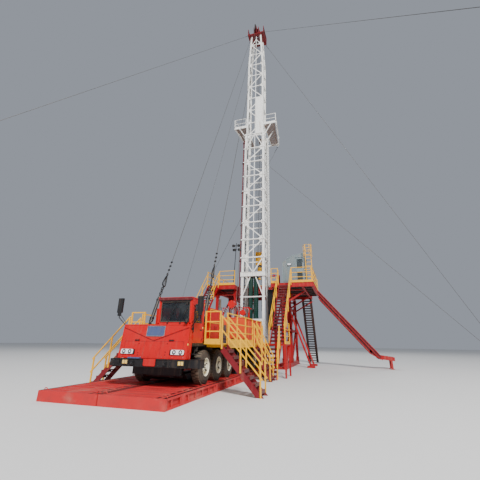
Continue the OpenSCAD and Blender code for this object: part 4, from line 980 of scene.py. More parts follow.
# %% Mats
MAT_CORNERS = [(x, -17.70 + 5.04 * i) for x in (-0.56, -2.78) for i in range(3)]
GROOVE_Z0, GROOVE_Z1 = 0.2995, 0.3025
mat_ribs, stiff, grooves = Metalwork(), Metalwork(), Metalwork()
for x0, y0 in MAT_CORNERS:
    for x in (x0 + 0.012, x0 + 2.168):
        for y in (y0 + 0.35 + k * 0.54 for k in range(9)):
            stiff.plate((x - 0.012, y, 0.062), (x + 0.012, y + 0.05, 0.238))
    for x in (x0 + 0.10, x0 + 2.08):
        for y in (y0 + 0.18, y0 + 4.82):
            mat_ribs.ring(well(x, y, 0.300), (0, 1, 0), 0.055, 0.014, 16, 6, 0.5)
    for y in (y0 + 0.25 + k * 0.41 for k in range(12)):
        mat_ribs.plate((x0 + 0.22, y, 0.299), (x0 + 1.96, y + 0.05, 0.316))
    for x in (x0 + 0.015, x0 + 1.860, x0 + 2.085):
        grooves.plate((x, y0 + 0.02, GROOVE_Z0), (x + 0.080, y0 + 5.0, GROOVE_Z1))
    for y in (y0 + 1.42, y0 + 3.47):
        grooves.plate((x0 + 0.52, y + 0.05, GROOVE_Z0), (x0 + 1.21, y + 0.25, GROOVE_Z1))
stiff.make("mat_stiffeners", mat_red)
mat_ribs.make("mat_ribs_and_eyes", mat_red, bevel=0.005)
grooves.make("mat_grooves", black_paint)

bumper_step = Metalwork()
bumper_step.plate((1.28, -15.96, 0.93), (1.80, -15.56, 1.17))
bumper_step.plate((1.28, -15.97, 1.17), (1.81, -15.55, 1.185))
bumper_step.make("bumper_step", black_paint)

# %% [markdown]
# Springs, dampers, air tanks and mud flaps fill the dark space between the wheels. A leaf
# spring is five bars, each shorter than the one below it.

# %% Running gear
gear, tanks, guards = Metalwork(), Metalwork(), Metalwork()
for y, side in WHEELS:
    for k in range(5):
        x, z, reach = side * 0.62, 1.03 + k * 0.022, 0.55 - k * 0.09
        gear.bar(well(x, y - reach, z), well(x, y + reach, z), 0.09, 0.018)
    gear.rod(well(side * 0.80, y, WHEEL_Z + 0.02), well(side * 0.72, y + 0.22, 1.50), 0.045, 12)
    gear.rod(well(side * 0.76, y + 0.10, 1.18), well(side * 0.72, y + 0.22, 1.50), 0.060, 12)
    gear.rod(well(side * 0.93, y, WHEEL_Z), well(side * 0.98, y, WHEEL_Z), 0.20, 20)
gear.make("springs_and_dampers", greasy)
for y, x in ((-10.60, 0.86), (-10.60, -0.86), (-9.30, -0.90), (-8.55, 0.86)):
    tanks.rod(well(x, y - 0.45, 1.20), well(x, y + 0.45, 1.20), 0.19, 24)
    for dy in (-0.3, 0.3):
        tanks.ring(well(x, y + dy, 1.20), (0, 1, 0), 0.195, 0.012, 24, 6)
tanks.make("air_tanks", black_paint, bevel=0.01)
for y in (-15.15, -13.78, -11.10, -8.02, -3.88):
    guards.pair((0.98, y, 1.42), (1.32, y + 0.02, 1.60))
guards.make("mud_flaps", rubber)

# %% [markdown]
# From the low camera the underside of the nose shows: a skid plate, its struts and a cross
# tube, all black. The skid plate and the curtain behind the front wheels are partly painted shade:
# wide and black, they also stand for the shadow under the carrier. Two steps hang under the cab
# door.

# %% The front's underside and the cab steps
under, cab_steps = Metalwork(), Metalwork()
# Black parts under the nose; the skid plate and the curtain also stand for the shadow, as painted
# shade.
under.plate((-0.94, -15.62, 0.66), (0.94, -15.50, 1.02))
under.bar(well(0, -15.50, 0.90), well(0, -14.90, 0.47), 1.80, 0.03)
under.bar(well(0, -14.92, 0.47), well(0, -11.20, 0.47), 1.80, 0.03)
for side in SIDES:
    under.bar(well(side * 0.55, -15.56, 0.62), well(side * 0.86, -14.50, 0.72), 0.07, 0.07)
under.pair((0.60, -13.78, 0.42), (0.94, -13.74, 1.30))
under.pair((1.34, -15.90, 1.00), (1.66, -15.60, 1.13))
under.pair((1.52, -15.93, 0.93), (1.70, -15.57, 1.16))
under.rod(well(-0.90, -15.34, 0.62), well(0.90, -15.34, 0.62), 0.045, 14)
under.make("front_underside_and_shade", black_paint, bevel=0.008)
for z in (1.02, 1.32):
    cab_steps.plate((1.18, -15.62, z), (1.42, -15.18, z + 0.03))
for y in (-15.62, -15.20):
    cab_steps.plate((1.20, y, 1.02), (1.23, y + 0.03, 1.68))
cab_steps.make("cab_steps", black_paint, bevel=0.004)

# %% [markdown]
# Behind the cab stands a locker, red with pale yellow edges. Its two doors need only their
# handles and hinges.

# %% Locker
LOCK_X, (LOCK_Y0, LOCK_Y1), (LOCK_Z0, LOCK_Z1) = 1.320, (-14.06, -12.96), (1.83, 2.97)
locker_mid = (LOCK_Y0 + LOCK_Y1) / 2
edges, locker = Metalwork(), Metalwork()
edges.border(lambda y, z: well(LOCK_X, y, z), (LOCK_Y0, LOCK_Z0), (LOCK_Y1, LOCK_Z1),
             0.026, 0.016, (1, 0, 0))
edges.bar(well(LOCK_X, LOCK_Y0, 2.46), well(LOCK_X, LOCK_Y1, 2.46), 0.026, 0.016, (1, 0, 0))
edges.plate((1.300, LOCK_Y0, 1.72), (1.329, LOCK_Y1, 1.84))
edges.make("locker_yellow_edges", yellow_paint, bevel=0.003)
for y in (locker_mid - 0.10, locker_mid + 0.10):
    locker.bar(well(1.326, y, 2.20), well(1.326, y, 2.34), 0.02, 0.014, (1, 0, 0))
for y in (LOCK_Y0 + 0.01, LOCK_Y1 - 0.01):
    for z in (1.95, 2.30, 2.60, 2.88):
        locker.rod(well(1.324, y, z - 0.04), well(1.324, y, z + 0.04), 0.011, 8)
locker.make("locker_handles", black_paint, bevel=0.003)

# %% [markdown]
# The engine shows louvres in front of a dark hood, valve covers and a manifold on top, a round
# housing behind, and two heat-stained silencers with their pipes. Hoses run along both sides.

# %% Engine
SILENCER_Y = -11.00
louvres, block, pipes = Metalwork(), Metalwork(), Metalwork()
for side in SIDES:
    for y in (-12.50 + k * 0.165 for k in range(16)):
        louvres.bar(well(side * 0.486, y, 1.95), well(side * 0.486, y, 2.50), 0.11, 0.016,
                    (side, 0.5, 0))
for z in (1.92 + k * 0.058 for k in range(11)):
    louvres.bar(well(-0.44, -12.556, z), well(0.44, -12.556, z), 0.016, 0.040)
louvres.make("engine_louvres", greasy)
for y in (-12.30 + k * 0.42 for k in range(6)):
    block.pair((0.10, y, 2.57), (0.40, y + 0.30, 2.70))
block.plate((-0.07, -12.35, 2.57), (0.07, -9.85, 2.80))
block.rod(well(0, -9.60, 2.20), well(0, -9.25, 2.20), 0.42, 32)
block.rod(well(0, -9.28, 2.20), well(0, -9.05, 2.20), 0.16, 24)
block.plate((-0.62, -12.68, 1.85), (0.62, -12.60, 2.78))
block.make("engine_block_parts", engine_grey, bevel=0.012)

hose_lines = []
for side in SIDES:
    x = side * 0.56
    pipes.rod(well(x, SILENCER_Y, 3.35), well(x, SILENCER_Y, 3.75), 0.055, 20)
    pipes.ring(well(x, SILENCER_Y, 3.34), (0, 0, 1), 0.085, 0.015, 24, 8)
    pipes.rod(well(x, SILENCER_Y, 2.10), well(x, SILENCER_Y, 3.20), 0.118, 24)
    for k in range(4):
        x = side * (0.50 + 0.05 * k)
        hose_lines.append(curve_through([
            well(x, -12.45 + 0.2 * k, 2.45), well(x + side * 0.06, -12.2, 2.15),
            well(side * 0.66, -11.6 + 0.3 * k, 1.90), well(side * 0.66, -9.4, 1.89),
            well(side * 0.60, -8.86, 1.95)]))
stained = bare_steel("heat_stained_steel", (0.24, 0.17, 0.12), 0.5, 0.8)
pipes.make("silencers", stained, bevel=0.006)
tubes("engine_hoses", hose_lines, 0.022, black_paint)

# %% [markdown]
# On the drawworks' roof stand small winches in a red frame, hand wheels with three spokes, and
# steel pipes that loop over them.

# %% Winch gear
gear_red, gear_grey = Metalwork(), Metalwork()
for x in (-0.60, 0.35, 1.05):
    gear_red.plate((x - 0.035, -7.34, 3.00), (x + 0.035, -7.27, 3.72))
gear_red.plate((-0.64, -7.34, 3.66), (1.10, -7.27, 3.72))
gear_red.rod(well(-0.02, -7.50, 3.90), well(-0.02, -7.12, 3.90), 0.23, 28)
gear_red.rod(well(0.68, -7.45, 3.40), well(0.68, -7.15, 3.40), 0.17, 24)
gear_red.plate((-0.16, -7.42, 3.60), (0.12, -7.20, 3.80))
gear_red.rod(well(0.30, -7.30, 3.60), well(1.22, -7.30, 3.62), 0.022, 10)
gear_red.make("winch_gear_red", red_paint, bevel=0.012)
for x, z in ((-0.42, 3.55), (0.46, 3.78), (0.92, 3.50)):
    hub = well(x, -7.40, z)
    gear_grey.ring(hub, (0, 1, 0), 0.14, 0.018, 24, 8)
    gear_grey.rod(well(x, -7.44, z), well(x, -7.28, z), 0.030, 12)
    for a in (0, THIRD, 2 * THIRD):
        gear_grey.rod(hub, hub + Vector((math.cos(a), 0, math.sin(a))) * 0.14, 0.012, 6)
gear_grey.rod(well(-0.30, -7.46, 3.02), well(-0.30, -7.46, 3.30), 0.09, 20)
gear_grey.rod(well(0.10, -7.46, 3.02), well(0.10, -7.46, 3.24), 0.12, 20)
gear_grey.make("winch_gear_wheels", machined, bevel=0.004)
tubes("winch_pipes", [curve_through([
    well(x0, -7.42, 3.25), well(x0 + 0.05, -7.46, 3.60), well(x1, -7.46, 3.78),
    well(x1 + 0.16, -7.40, 3.45), well(x1 + 0.14, -7.30, 3.02)])
    for x0, x1 in ((-0.30, 0.02), (-0.10, 0.30), (0.12, 0.56))], 0.026, machined)

# %% [markdown]
# The drawworks house has welded ribs, door panels in front and a drum wound full of rope. The
# winding is one tube along a helix.

# %% Drawworks house and drum
DRUM_Y, DRUM_Z, DRUM_R, TURNS, STEPS = -6.50, 2.62, 0.3145, 48, 16
house, house_dark = Metalwork(), Metalwork()
for x, out in ((-1.155, -0.01), (1.255, 0.01)):
    for y in (-8.84, -8.10, -7.35, -6.60, -5.85, -5.27):
        house.plate((x - 0.03, y - 0.03, 1.82), (x + 0.03, y + 0.03, 3.0))
    for z in (2.94, 1.81):
        house.plate((x - 0.035, -8.86, z), (x + 0.035, -5.24, z + 0.07))
    house_dark.ring(well(x + out, DRUM_Y, DRUM_Z), (1, 0, 0), 0.22, 0.025, 32, 8)
for x in (k * 0.50 for k in range(5)):
    house.plate((-1.12 + x, -8.885, 1.90), (-0.72 + x, -8.850, 2.90))
house.plate((-1.15, -8.87, 2.98), (1.25, -7.35, 3.02))
house.make("drawworks_ribs", orange_paint, bevel=0.006)
house_dark.make("drawworks_flanges", greasy)


def round_drum(x, r, a):
    return well(x, DRUM_Y + r * math.cos(a), DRUM_Z + r * math.sin(a))


helix = [round_drum(-0.70 + 1.49 * k / (TURNS * STEPS), DRUM_R, 2 * math.pi * k / STEPS)
         for k in range(TURNS * STEPS + 1)]
tubes("drum_winding", [helix], 0.0145, rope, sides=6)
studs("drum_bolts", [(round_drum(x, 0.44, a), (d, 0, 0)) for x, d in ((-0.78, -1), (0.90, 1))
                     for a in circle(16)], 0.016, 0.024, greasy)

# %% [markdown]
# The drilling lines shorten as the block climbs. One piece stands for their CAD node: a copy of
# its mesh in the rope finish, while the node itself is hidden.

# %% The drilling lines
falls = bpy.data.objects.new("drilling_line_falls", nodes["drilling_lines"].data.copy())
falls.data.transform(nodes["drilling_lines"].matrix_world)
falls.data.materials.clear()
falls.data.materials.append(rope)
bpy.context.scene.collection.objects.link(falls)
heights = [v.co.z for v in falls.data.vertices]
well(0, 0, max(heights))
well(0, 0, min(heights))
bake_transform(falls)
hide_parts("drilling_lines")
print("drilling lines from", round(min(heights), 2), "to", round(max(heights), 2), "m")


# %% [markdown]
# The mast is a lattice of welded sections. What shows that it is built, from the ground, are
# the bands that run round it at every level, the triangular gussets where the braces meet the
# legs, the bolts in them, and the heavy collars where the upper section slides in the lower.

# %% The mast's bands, gussets and bolts
LOWER = [3.25, 4.65, 6.22, 7.79, 9.36, 10.93, 12.50, 14.07, 15.64, 17.39]
UPPER = [17.25 + 1.68 * i for i in range(9)]
LOWER_DEEP, UPPER_Y, UPPER_DEEP = 1.36, 0.075, 1.20
MAST_FRONT = (0, -1, 0.06)


def upper_half(z):
    """Half the upper section's width, which narrows above 27.33."""
    return 0.865 if z < 27.33 else 0.865 - 0.245 * (z - 27.33) / (32.15 - 27.33)


def gusset_pair(x, y, z, inward, reach, tall):
    """Two triangles in a corner, above and below a band."""
    place = Matrix.Translation(on_mast(x, y, z)) @ Matrix.Rotation(math.pi / 2 - LEAN, 4, "X")
    for up_way in (-1, 1):
        gussets.prism([(0, 0), (inward * reach, 0), (0, up_way * tall)], 0.012, place)


bands, gussets, bolts = Metalwork(), Metalwork(), []
for i, z in enumerate(LOWER[1:-1]):
    low, high = z - 0.045, z + 0.045
    bands.plate((-1.08, -0.034, z - 0.050), (1.02, 0.004, z + 0.050), on_mast)
    bands.plate((-1.08, -0.060, z - 0.050), (1.02, -0.034, z - 0.030), on_mast)
    bands.plate((0.948, 0.0, low), (0.985, LOWER_DEEP, high), on_mast)
    bands.plate((-0.985, 0.0, low), (-0.948, LOWER_DEEP, high), on_mast)
    bands.plate((-0.97, LOWER_DEEP - 0.004, low), (0.97, LOWER_DEEP + 0.030, high), on_mast)
    for side in SIDES:
        reach = 0.42 if side == (1 if i % 2 else -1) else 0.24
        gusset_pair(side * 0.80, 0.012, z, -side, reach, reach * 0.95)
        bolts += [(on_mast(side * x, -0.036, z + dz), MAST_FRONT)
                  for x, dz in ((0.86, -0.018), (0.86, 0.022), (0.74, 0.0))]
    bolts += [(on_mast(side * 0.987, y, z), (side, 0, 0)) for y in (0.30, 1.06)
              for side in SIDES]
for z in UPPER:
    w = upper_half(z)
    for side in SIDES:
        gusset_pair(side * (w - 0.16), UPPER_Y + 0.055, z, -side, 0.26, 0.26)
        bolts += [(on_mast(side * (w - 0.05), UPPER_Y - 0.004, z + dz), MAST_FRONT)
                  for dz in (-0.10, 0.0, 0.10)]
    bands.pair((w - 0.012, UPPER_Y + 0.02, z - 0.045),
               (w + 0.018, UPPER_Y + UPPER_DEEP - 0.02, z + 0.045), on_mast)
bands.make("mast_bands", white_paint, bevel=0.006)
gussets.make("mast_gussets", white_paint)
studs("mast_bolts", bolts, 0.020, 0.028, brown_steel)

# %% [markdown]
# Heavy collars close round the legs where the upper section stands in the lower one, with a
# locking pin on each side. At the mast's foot a ribbed plate ties the front legs together.

# %% The mast's collars and foot plate
collars = Metalwork()
for z0, z1 in ((16.95, 17.12), (17.28, 17.43)):
    for y0, y1 in ((-0.045, 0.30), (1.08, 1.40)):
        collars.pair((0.72, y0, z0), (0.985, y1, z1), on_mast)
for side in SIDES:
    collars.rod(on_mast(side * 1.03, 0.10, 17.36), on_mast(side * 0.90, 0.10, 17.36), 0.055, 20)
collars.pair((0.80, -0.075, 3.06), (1.02, -0.055, 3.44), on_mast)
for x in (-0.72, -0.36, 0.0, 0.36, 0.72):
    collars.plate((x - 0.012, -0.105, 3.09), (x + 0.012, -0.055, 3.41), on_mast)
for z in (3.405, 3.07):
    collars.plate((-1.01, -0.105, z), (1.01, -0.055, z + 0.025), on_mast)
collars.make("mast_collars", white_paint, bevel=0.008)

# %% [markdown]
# From the ground the crown looks closed: plates fill its frame from below, with slots between
# them that the drilling lines run through.

# %% Closing plates under the crown
CROWN_FOOT = 32.15
under_crown = Metalwork()
front = on_mast(0, UPPER_Y, CROWN_FOOT).y - WELL_Y
height = on_mast(0, 0.675, CROWN_FOOT).z
for y0, y1 in ((front + 0.06, -0.33), (-0.23, 0.23), (0.33, front + 1.14)):
    under_crown.plate((-0.84, y0, height + 0.05), (0.84, y1, height + 0.07))
under_crown.make("crown_underside", pipe_red)

# %% [markdown]
# Hoses and cables run up inside the legs, where clips hold them every 0.8 m. They are swept
# from a few points each.

# %% Hoses and cables up the mast
tubes("mast_hoses", [[on_mast(x, y, z) for z in (0.4, 4.0, 8.0, 12.0, 16.6)]
                     for x, y in ((-0.70, 0.10), (-0.66, 0.10), (0.70, 0.12), (-0.90, 0.72))],
      0.016, black_paint)
cables = [[on_mast(x, 0.16, z) for z in (17.5, 22.0, 27.0)] for x in (-0.62, -0.58, 0.62)]
cables.append([on_mast(-0.62 + 0.16 * t, 0.16, 27.0 + 5.0 * t) for t in (0, 0.5, 1)])
tubes("mast_cables", cables, 0.013, black_paint)
clips = Metalwork()
for z in (0.9 + 0.8 * k for k in range(20)):
    clips.plate((-0.735, 0.075, z - 0.02), (-0.63, 0.125, z + 0.02), on_mast)
    clips.plate((0.67, 0.095, z - 0.02), (0.735, 0.145, z + 0.02), on_mast)
clips.make("mast_clips", machined)

# %% [markdown]
# The standpipe on the outer left is bolted from lengths. Each joint is two discs and eight long
# bolts that lie along the mast.

# %% The standpipe's flanges
PIPE_X, PIPE_Y = -1.10, 0.095
UP_MAST = (0, math.sin(LEAN), math.cos(LEAN))
flanges, pipe_bolts = Metalwork(), []
for z in (1.2, 4.4, 7.6, 10.8, 14.0, 16.4):
    for low in (z - 0.035, z + 0.008):
        flanges.rod(on_mast(PIPE_X, PIPE_Y, low), on_mast(PIPE_X, PIPE_Y, low + 0.027), 0.105, 24)
    pipe_bolts += [(on_mast(PIPE_X + 0.085 * math.cos(a), PIPE_Y + 0.085 * math.sin(a), z),
                    UP_MAST) for a in circle(8)]
flanges.rod(on_mast(PIPE_X, PIPE_Y, 0.66), on_mast(PIPE_X, PIPE_Y, 0.74), 0.075, 20)
flanges.make("standpipe_flanges", pipe_red, bevel=0.004)
studs("standpipe_bolts", pipe_bolts, 0.011, 0.10, greasy)

# %% [markdown]
# The raising rams wear dark green bellows, whose closely set folds keep dust off the stages
# inside. Ports and hoses at their feet make them read as hydraulics.

# %% Raising rams
glands, ports, ram_hoses = Metalwork(), Metalwork(), []
for side in SIDES:
    x, y = side * 0.215, 0.240
    glands.rod(on_mast(x, y, -1.62), on_mast(x, y, 3.02), 0.186, 28)
    for z in (-1.55 + 0.15 * k for k in range(31)):
        glands.ring(on_mast(x, y, z), UP_MAST, 0.186, 0.018, 28, 6)
    glands.rod(on_mast(x, y, 2.93), on_mast(x, y, 3.06), 0.188, 28)
    ports.rod(on_mast(x, y + 0.17, 0.52), on_mast(x, y + 0.24, 0.52), 0.04, 12)
    ram_hoses.append(curve_through([
        on_mast(x, 0.44, 0.52), on_mast(side * 0.30, 0.52, 0.2),
        on_mast(side * 0.42, 0.55, -0.7), on_mast(side * 0.40, 0.50, -1.75)]))
glands.make("ram_glands", green_paint, bevel=0.004)
ports.make("ram_ports", machined)
tubes("ram_hoses", ram_hoses, 0.020, black_paint)

# %% [markdown]
# At the crown, guards keep the lines on the sheaves, and a mesh of flat bars and a red beacon
# finish the frame.

# %% Crown
SHEAVE_Z = 36.90
crown, beacon = Metalwork(), Metalwork()
for x in (-0.225, -0.075, 0.075, 0.225):
    crown.plate((x - 0.004, -0.36, 36.60), (x + 0.004, 0.36, 37.05))
for y in (-0.40, 0.40):
    crown.rod(well(-0.25, y, SHEAVE_Z), well(0.25, y, SHEAVE_Z), 0.022, 12)
for side in SIDES:
    crown.rod(well(side * 0.30, 0, SHEAVE_Z), well(side * 0.345, 0, SHEAVE_Z), 0.13, 24)
crown.pair((0.60, -0.78, 35.58), (0.64, 0.78, 35.66))
for z in (32.165, 32.29):
    crown.plate((-0.965, UPPER_Y - 0.275, z), (0.965, UPPER_Y - 0.255, z + 0.02), on_mast)
for x in (-0.93 + k * 0.155 for k in range(13)):
    crown.plate((x - 0.006, UPPER_Y - 0.272, 32.17), (x + 0.006, UPPER_Y - 0.258, 32.30), on_mast)
crown.make("crown_details", crown_red, bevel=0.004)
beacon.rod(well(0.62, 0.55, 35.70), well(0.62, 0.55, 35.86), 0.07, 20, 0.055)
beacon.make("crown_beacon", tail_lamp, bevel=0.01)

# %% [markdown]
# The racking board is a fork of slats. Latches along its edges keep the pipes in their slots,
# and kick strips and front rails keep a foot from slipping off.

# %% Racking board
board, board_dark = Metalwork(), Metalwork()


def board_edge(y):
    """Half the board's width, which shrinks towards the rear."""
    return 2.150 - 0.390 * (y + 1.450) / 3.970


for y in (-1.20 + k * 0.165 for k in range(22)):
    x = board_edge(y) - 0.20
    board_dark.pair((x - 0.14, y, 21.845), (x, y + 0.03, 21.875))
for y in (-1.44, 2.44):
    board.pair((0.90, y, 21.93), (board_edge(y) - 0.02, y + 0.012, 22.06))
for z in (22.42, 22.93):
    board.pair((0.90, -1.43, z - 0.02), (2.08, -1.39, z + 0.02))
board.pair((0.90, -1.43, 21.93), (0.95, -1.38, 22.95))
board.make("board_kick_strips", white_paint, bevel=0.004)
board_dark.make("board_latches", brown_steel)

# %% [markdown]
# The travelling block gets ribs and pin heads on its cheeks and the hook its latch. They ride
# on the block's own body, so they climb with it.

# %% Travelling block
block, latch = Metalwork(), Metalwork()
for y in (-0.19, 0.19):
    block.pair((0.29, y - 0.04, 8.02), (0.315, y + 0.04, 8.86))
for side in SIDES:
    block.rod(well(side * 0.29, 0, 8.86), well(side * 0.335, 0, 8.86), 0.11, 24)
    block.rod(well(side * 0.29, 0, 8.10), well(side * 0.325, 0, 8.10), 0.06, 20)
for y in (-0.245, 0.245):
    block.plate((-0.27, y - 0.012, 8.48), (0.27, y + 0.012, 8.56))
block.rod(well(0, 0, 7.42), well(0, 0, 7.50), 0.19, 28)
block.make("block_cheeks", yellow_paint, body="travelling_block_body", bevel=0.010)
latch.rod(well(0.0, 0, 7.20), well(0.16, 0, 7.03), 0.045, 14)
latch.rod(well(0, 0, 7.78), well(0, 0, 7.96), 0.155, 28)
latch.make("hook_latch", greasy, body="travelling_block_body", bevel=0.006)

# %% [markdown]
# The drill floor is seen mostly from below: a red edge beam with stiffeners between its two
# lips, and brown joists and closing plates under the deck.

# %% Drill floor: edge beam and underside
DECK_Z = 5.95
EDGE = [((-3.85, -2.50), (-1.45, -2.50)), ((1.45, -2.50), (4.64, -2.50)),
        ((4.64, -2.50), (4.64, 3.10)), ((-3.85, -2.50), (-3.85, 5.20)),
        ((3.90, 3.10), (3.90, 5.20)), ((-3.85, 5.20), (3.90, 5.20))]
lip, stiff, joists, closing = Metalwork(), Metalwork(), Metalwork(), Metalwork()
for (x0, y0), (x1, y1) in EDGE:
    for z in (5.937, 5.645):
        lip.bar(well(x0, y0, z), well(x1, y1, z), 0.05, 0.018)
    n = max(2, round((abs(x1 - x0) + abs(y1 - y0)) / 0.55))
    for k in range(1, n):
        x, y = x0 + (x1 - x0) * k / n, y0 + (y1 - y0) * k / n
        stiff.plate((x - 0.022, y - 0.022, 5.645), (x + 0.022, y + 0.022, 5.935))
lip.make("floor_edge_flanges", frame_red)
stiff.make("floor_edge_stiffeners", frame_red)
for x0, x1 in ((-3.75, -3.28), (-3.02, -1.75), (1.75, 2.12), (2.40, 4.55)):
    for y in (-2.20 + k * 0.60 for k in range(12)):
        end = 3.80 if x1 > 4 and y > 2.8 else x1
        joists.plate((x0, y, 5.79), (end, y + 0.05, 5.928))
joists.make("floor_joists", under_brown)
for (x0, x1), (y0, y1) in (((2.42, 4.56), (-2.40, 3.00)), ((-3.76, -3.30), (-2.40, 5.10)),
                           ((1.76, 2.12), (-2.40, 5.10)), ((-3.00, -1.76), (-2.40, 5.10))):
    closing.plate((x0, y0, 5.700), (x1, y1, 5.712))
    n = round((y1 - y0) / 0.9)
    for k in range(n + 1):
        y = y0 + (y1 - y0 - 0.06) * k / n
        closing.plate((x0, y, 5.655), (x1, y + 0.06, 5.700))
closing.make("floor_underside", under_brown)

# %% [markdown]
# Yellow toe boards run along the foot of the rails, and every post stands on a foot plate with
# two bolts.

# %% Toe boards and rail feet
KICK_Z0, KICK_Z1, FOOT_Z0, FOOT_Z1 = 5.955, 6.125, 5.952, 5.966
kick, rail_feet, rail_bolts = Metalwork(), Metalwork(), []
for x0, x1 in ((1.46, 2.02), (3.04, 4.63), (-2.78, -1.46)):
    kick.plate((x0, -2.508, KICK_Z0), (x1, -2.480, KICK_Z1))
kick.plate((4.612, -2.49, KICK_Z0), (4.638, 1.60, KICK_Z1))
kick.plate((-3.848, -2.40, KICK_Z0), (-3.822, 5.15, KICK_Z1))
kick.make("floor_toe_boards", yellow_paint, bevel=0.004)
for x in (1.48, 1.98, 3.10, 3.83, 4.55, -2.72, -2.10, -1.50):
    rail_feet.plate((x - 0.06, -2.505, FOOT_Z0), (x + 0.11, -2.42, FOOT_Z1))
    rail_bolts += [(well(x + dx, -2.46, 5.97), (0, 0, 1)) for dx in (-0.03, 0.085)]
for y in (-2.4, -1.2, 0.0, 1.2, 2.95):
    for x0, x1 in ((4.54, 4.635), (-3.845, -3.76)):
        rail_feet.plate((x0, y - 0.05, FOOT_Z0), (x1, y + 0.10, FOOT_Z1))
rail_feet.make("rail_feet", yellow_paint)
studs("rail_foot_bolts", rail_bolts, 0.012, 0.016, greasy)

# %% [markdown]
# On top stand the rotary table with its ring of ribs and its drive, and a post with four work
# lights.

# %% Rotary table and work lights
POST_Y = -2.36
bowl, bowl_dark = Metalwork(), Metalwork()
bowl.ring(well(0, 0, 6.06), (0, 0, 1), 0.56, 0.030, 48, 8)
for a in circle(24):
    bowl.bar(well(0.40 * math.cos(a), 0.40 * math.sin(a), 6.062),
             well(0.54 * math.cos(a), 0.54 * math.sin(a), 6.062), 0.03, 0.016)
bowl.make("table_ribs", frame_red)
bowl_dark.ring(well(0, 0, 6.055), (0, 0, 1), 0.375, 0.020, 48, 8)
bowl_dark.plate((0.62, -0.25, 5.955), (1.30, 0.25, 6.20))
bowl_dark.make("table_drive", greasy, bevel=0.01)

lamp_post, lamp_body, lamp_glass = Metalwork(), Metalwork(), Metalwork()
lamp_post.rod(well(-1.62, POST_Y, DECK_Z), well(-1.42, POST_Y, 9.42), 0.028, 12)
for z, dx in ((9.20, 0.0), (8.85, 0.05)):
    lamp_post.rod(well(-1.68 + dx, POST_Y, z), well(-1.16 + dx, POST_Y, z), 0.020, 10)
    for x in (-1.66 + dx, -1.20 + dx):
        lamp_body.plate((x - 0.12, -2.42, z - 0.10), (x + 0.12, -2.28, z + 0.10))
        lamp_glass.plate((x - 0.10, -2.282, z - 0.08), (x + 0.10, -2.268, z + 0.08))
lamp_post.make("floodlight_post", black_paint)
lamp_body.make("floodlights", black_paint, bevel=0.015)
lamp_glass.make("floodlight_glass", clear_lamp)

# %% [markdown]
# A tong hangs on each side of the well: an arm, a jaw that is an open ring, and the post that
# holds it back.

# %% Tongs
tongs = Metalwork()
for side, y in ((-1, 0.85), (1, 0.95)):
    x, post = side * 1.05, side * 1.05 + side * 0.45
    tongs.rod(well(x, y, 7.20), well(x - side * 0.75, y - 0.35, 7.15), 0.05, 12)
    tongs.ring(well(x - side * 0.90, y - 0.42, 7.15), (0, 0, 1), 0.16, 0.045, 24, 8, 0.8)
    tongs.rod(well(x, y, 7.10), well(x, y, 7.32), 0.07, 12)
    tongs.rod(well(post, y + 0.1, DECK_Z), well(post, y + 0.1, 7.25), 0.06, 14)
    tongs.rod(well(x, y, 7.22), well(post, y + 0.1, 7.22), 0.035, 12)
tongs.make("tongs_and_posts", frame_red, bevel=0.006)

# %% [markdown]
# The driller's cabin is a folded sheet box: a frame of angle round its five-sided ends, ribs on
# the walls and the sloping front of the roof, and a rubbered window with a middle bar.

# %% Driller's cabin: frame, ribs and window
CX0, CX1, CY0, CY1 = 2.18, 3.90, -1.15, 1.70
WINDOW_Y0, WINDOW_Y1, SLOPE = -0.95, 1.50, (-0.5, 0, 0.86)
PROFILE = [(CX0, 0.0), (CX0, 1.93), (CX0 + 0.85, 2.43), (CX1, 2.58), (CX1, 0.0)]
frame_work, rib, rubbers = Metalwork(), Metalwork(), Metalwork()
for y in (CY0, CY1):
    for a, b in [*zip(PROFILE, PROFILE[1:]), ((CX0, 0.03), (CX1, 0.03))]:
        frame_work.bar(well(a[0], y, DECK_Z + a[1]), well(b[0], y, DECK_Z + b[1]),
                       0.05, 0.03, (0, 1, 0))
for x, z in [*PROFILE[1:4], (CX0, 0.03), (CX1, 0.03)]:
    frame_work.bar(well(x, CY0, DECK_Z + z), well(x, CY1, DECK_Z + z), 0.05, 0.04)
frame_work.make("cabin_frame", cabin_paint, bevel=0.006)
for y in (CY0 + 0.10 + k * 0.145 for k in range(19)):
    top = 0.90 if -0.97 < y < WINDOW_Y1 else 1.90
    rib.plate((CX0 - 0.018, y, DECK_Z + 0.06), (CX0 + 0.002, y + 0.045, DECK_Z + top))
    rib.bar(well(CX0 + 0.03, y, DECK_Z + 1.972), well(CX0 + 0.83, y, DECK_Z + 2.442),
            0.045, 0.014, SLOPE)
for x in (2.30 + k * 0.11 for k in range(9)):
    rib.plate((x, CY0 - 0.016, DECK_Z + 0.06), (x + 0.035, CY0 + 0.002, DECK_Z + 1.86))
rib.make("cabin_ribs", cabin_paint, bevel=0.004)
sill, head = DECK_Z + 0.95, DECK_Z + 1.77
rubbers.border(lambda y, z: well(CX0, y, z), (WINDOW_Y0, sill), (WINDOW_Y1, head),
               0.05, 0.05, (1, 0, 0))
rubbers.bar(well(CX0, 0.27, sill), well(CX0, 0.27, head), 0.05, 0.05, (1, 0, 0))
rubbers.make("cabin_window_rubbers", rubber, bevel=0.006)

# %% [markdown]
# The cabin's door is dark, with two panes and a handle, and all of it rides on the door's body.

# %% The cabin door
door_skin, door_panes = Metalwork(), Metalwork()
door_skin.plate((3.306, -1.158, 6.016), (3.824, -1.149, 8.144))
door_skin.plate((3.34, -1.172, 7.05), (3.79, -1.156, 7.12))
door_skin.rod(well(3.36, -1.19, 7.02), well(3.36, -1.155, 7.02), 0.018, 12)
door_skin.rod(well(3.36, -1.185, 6.93), well(3.36, -1.185, 7.10), 0.012, 10)
door_skin.make("cabin_door_skin", cabin_paint, body="cabin_door_body")
for z0, z1 in ((7.30, 8.06), (6.12, 6.98)):
    door_panes.plate((3.35, -1.166, z0), (3.78, -1.157, z1))
door_panes.make("cabin_door_panes", glass, body="cabin_door_body")

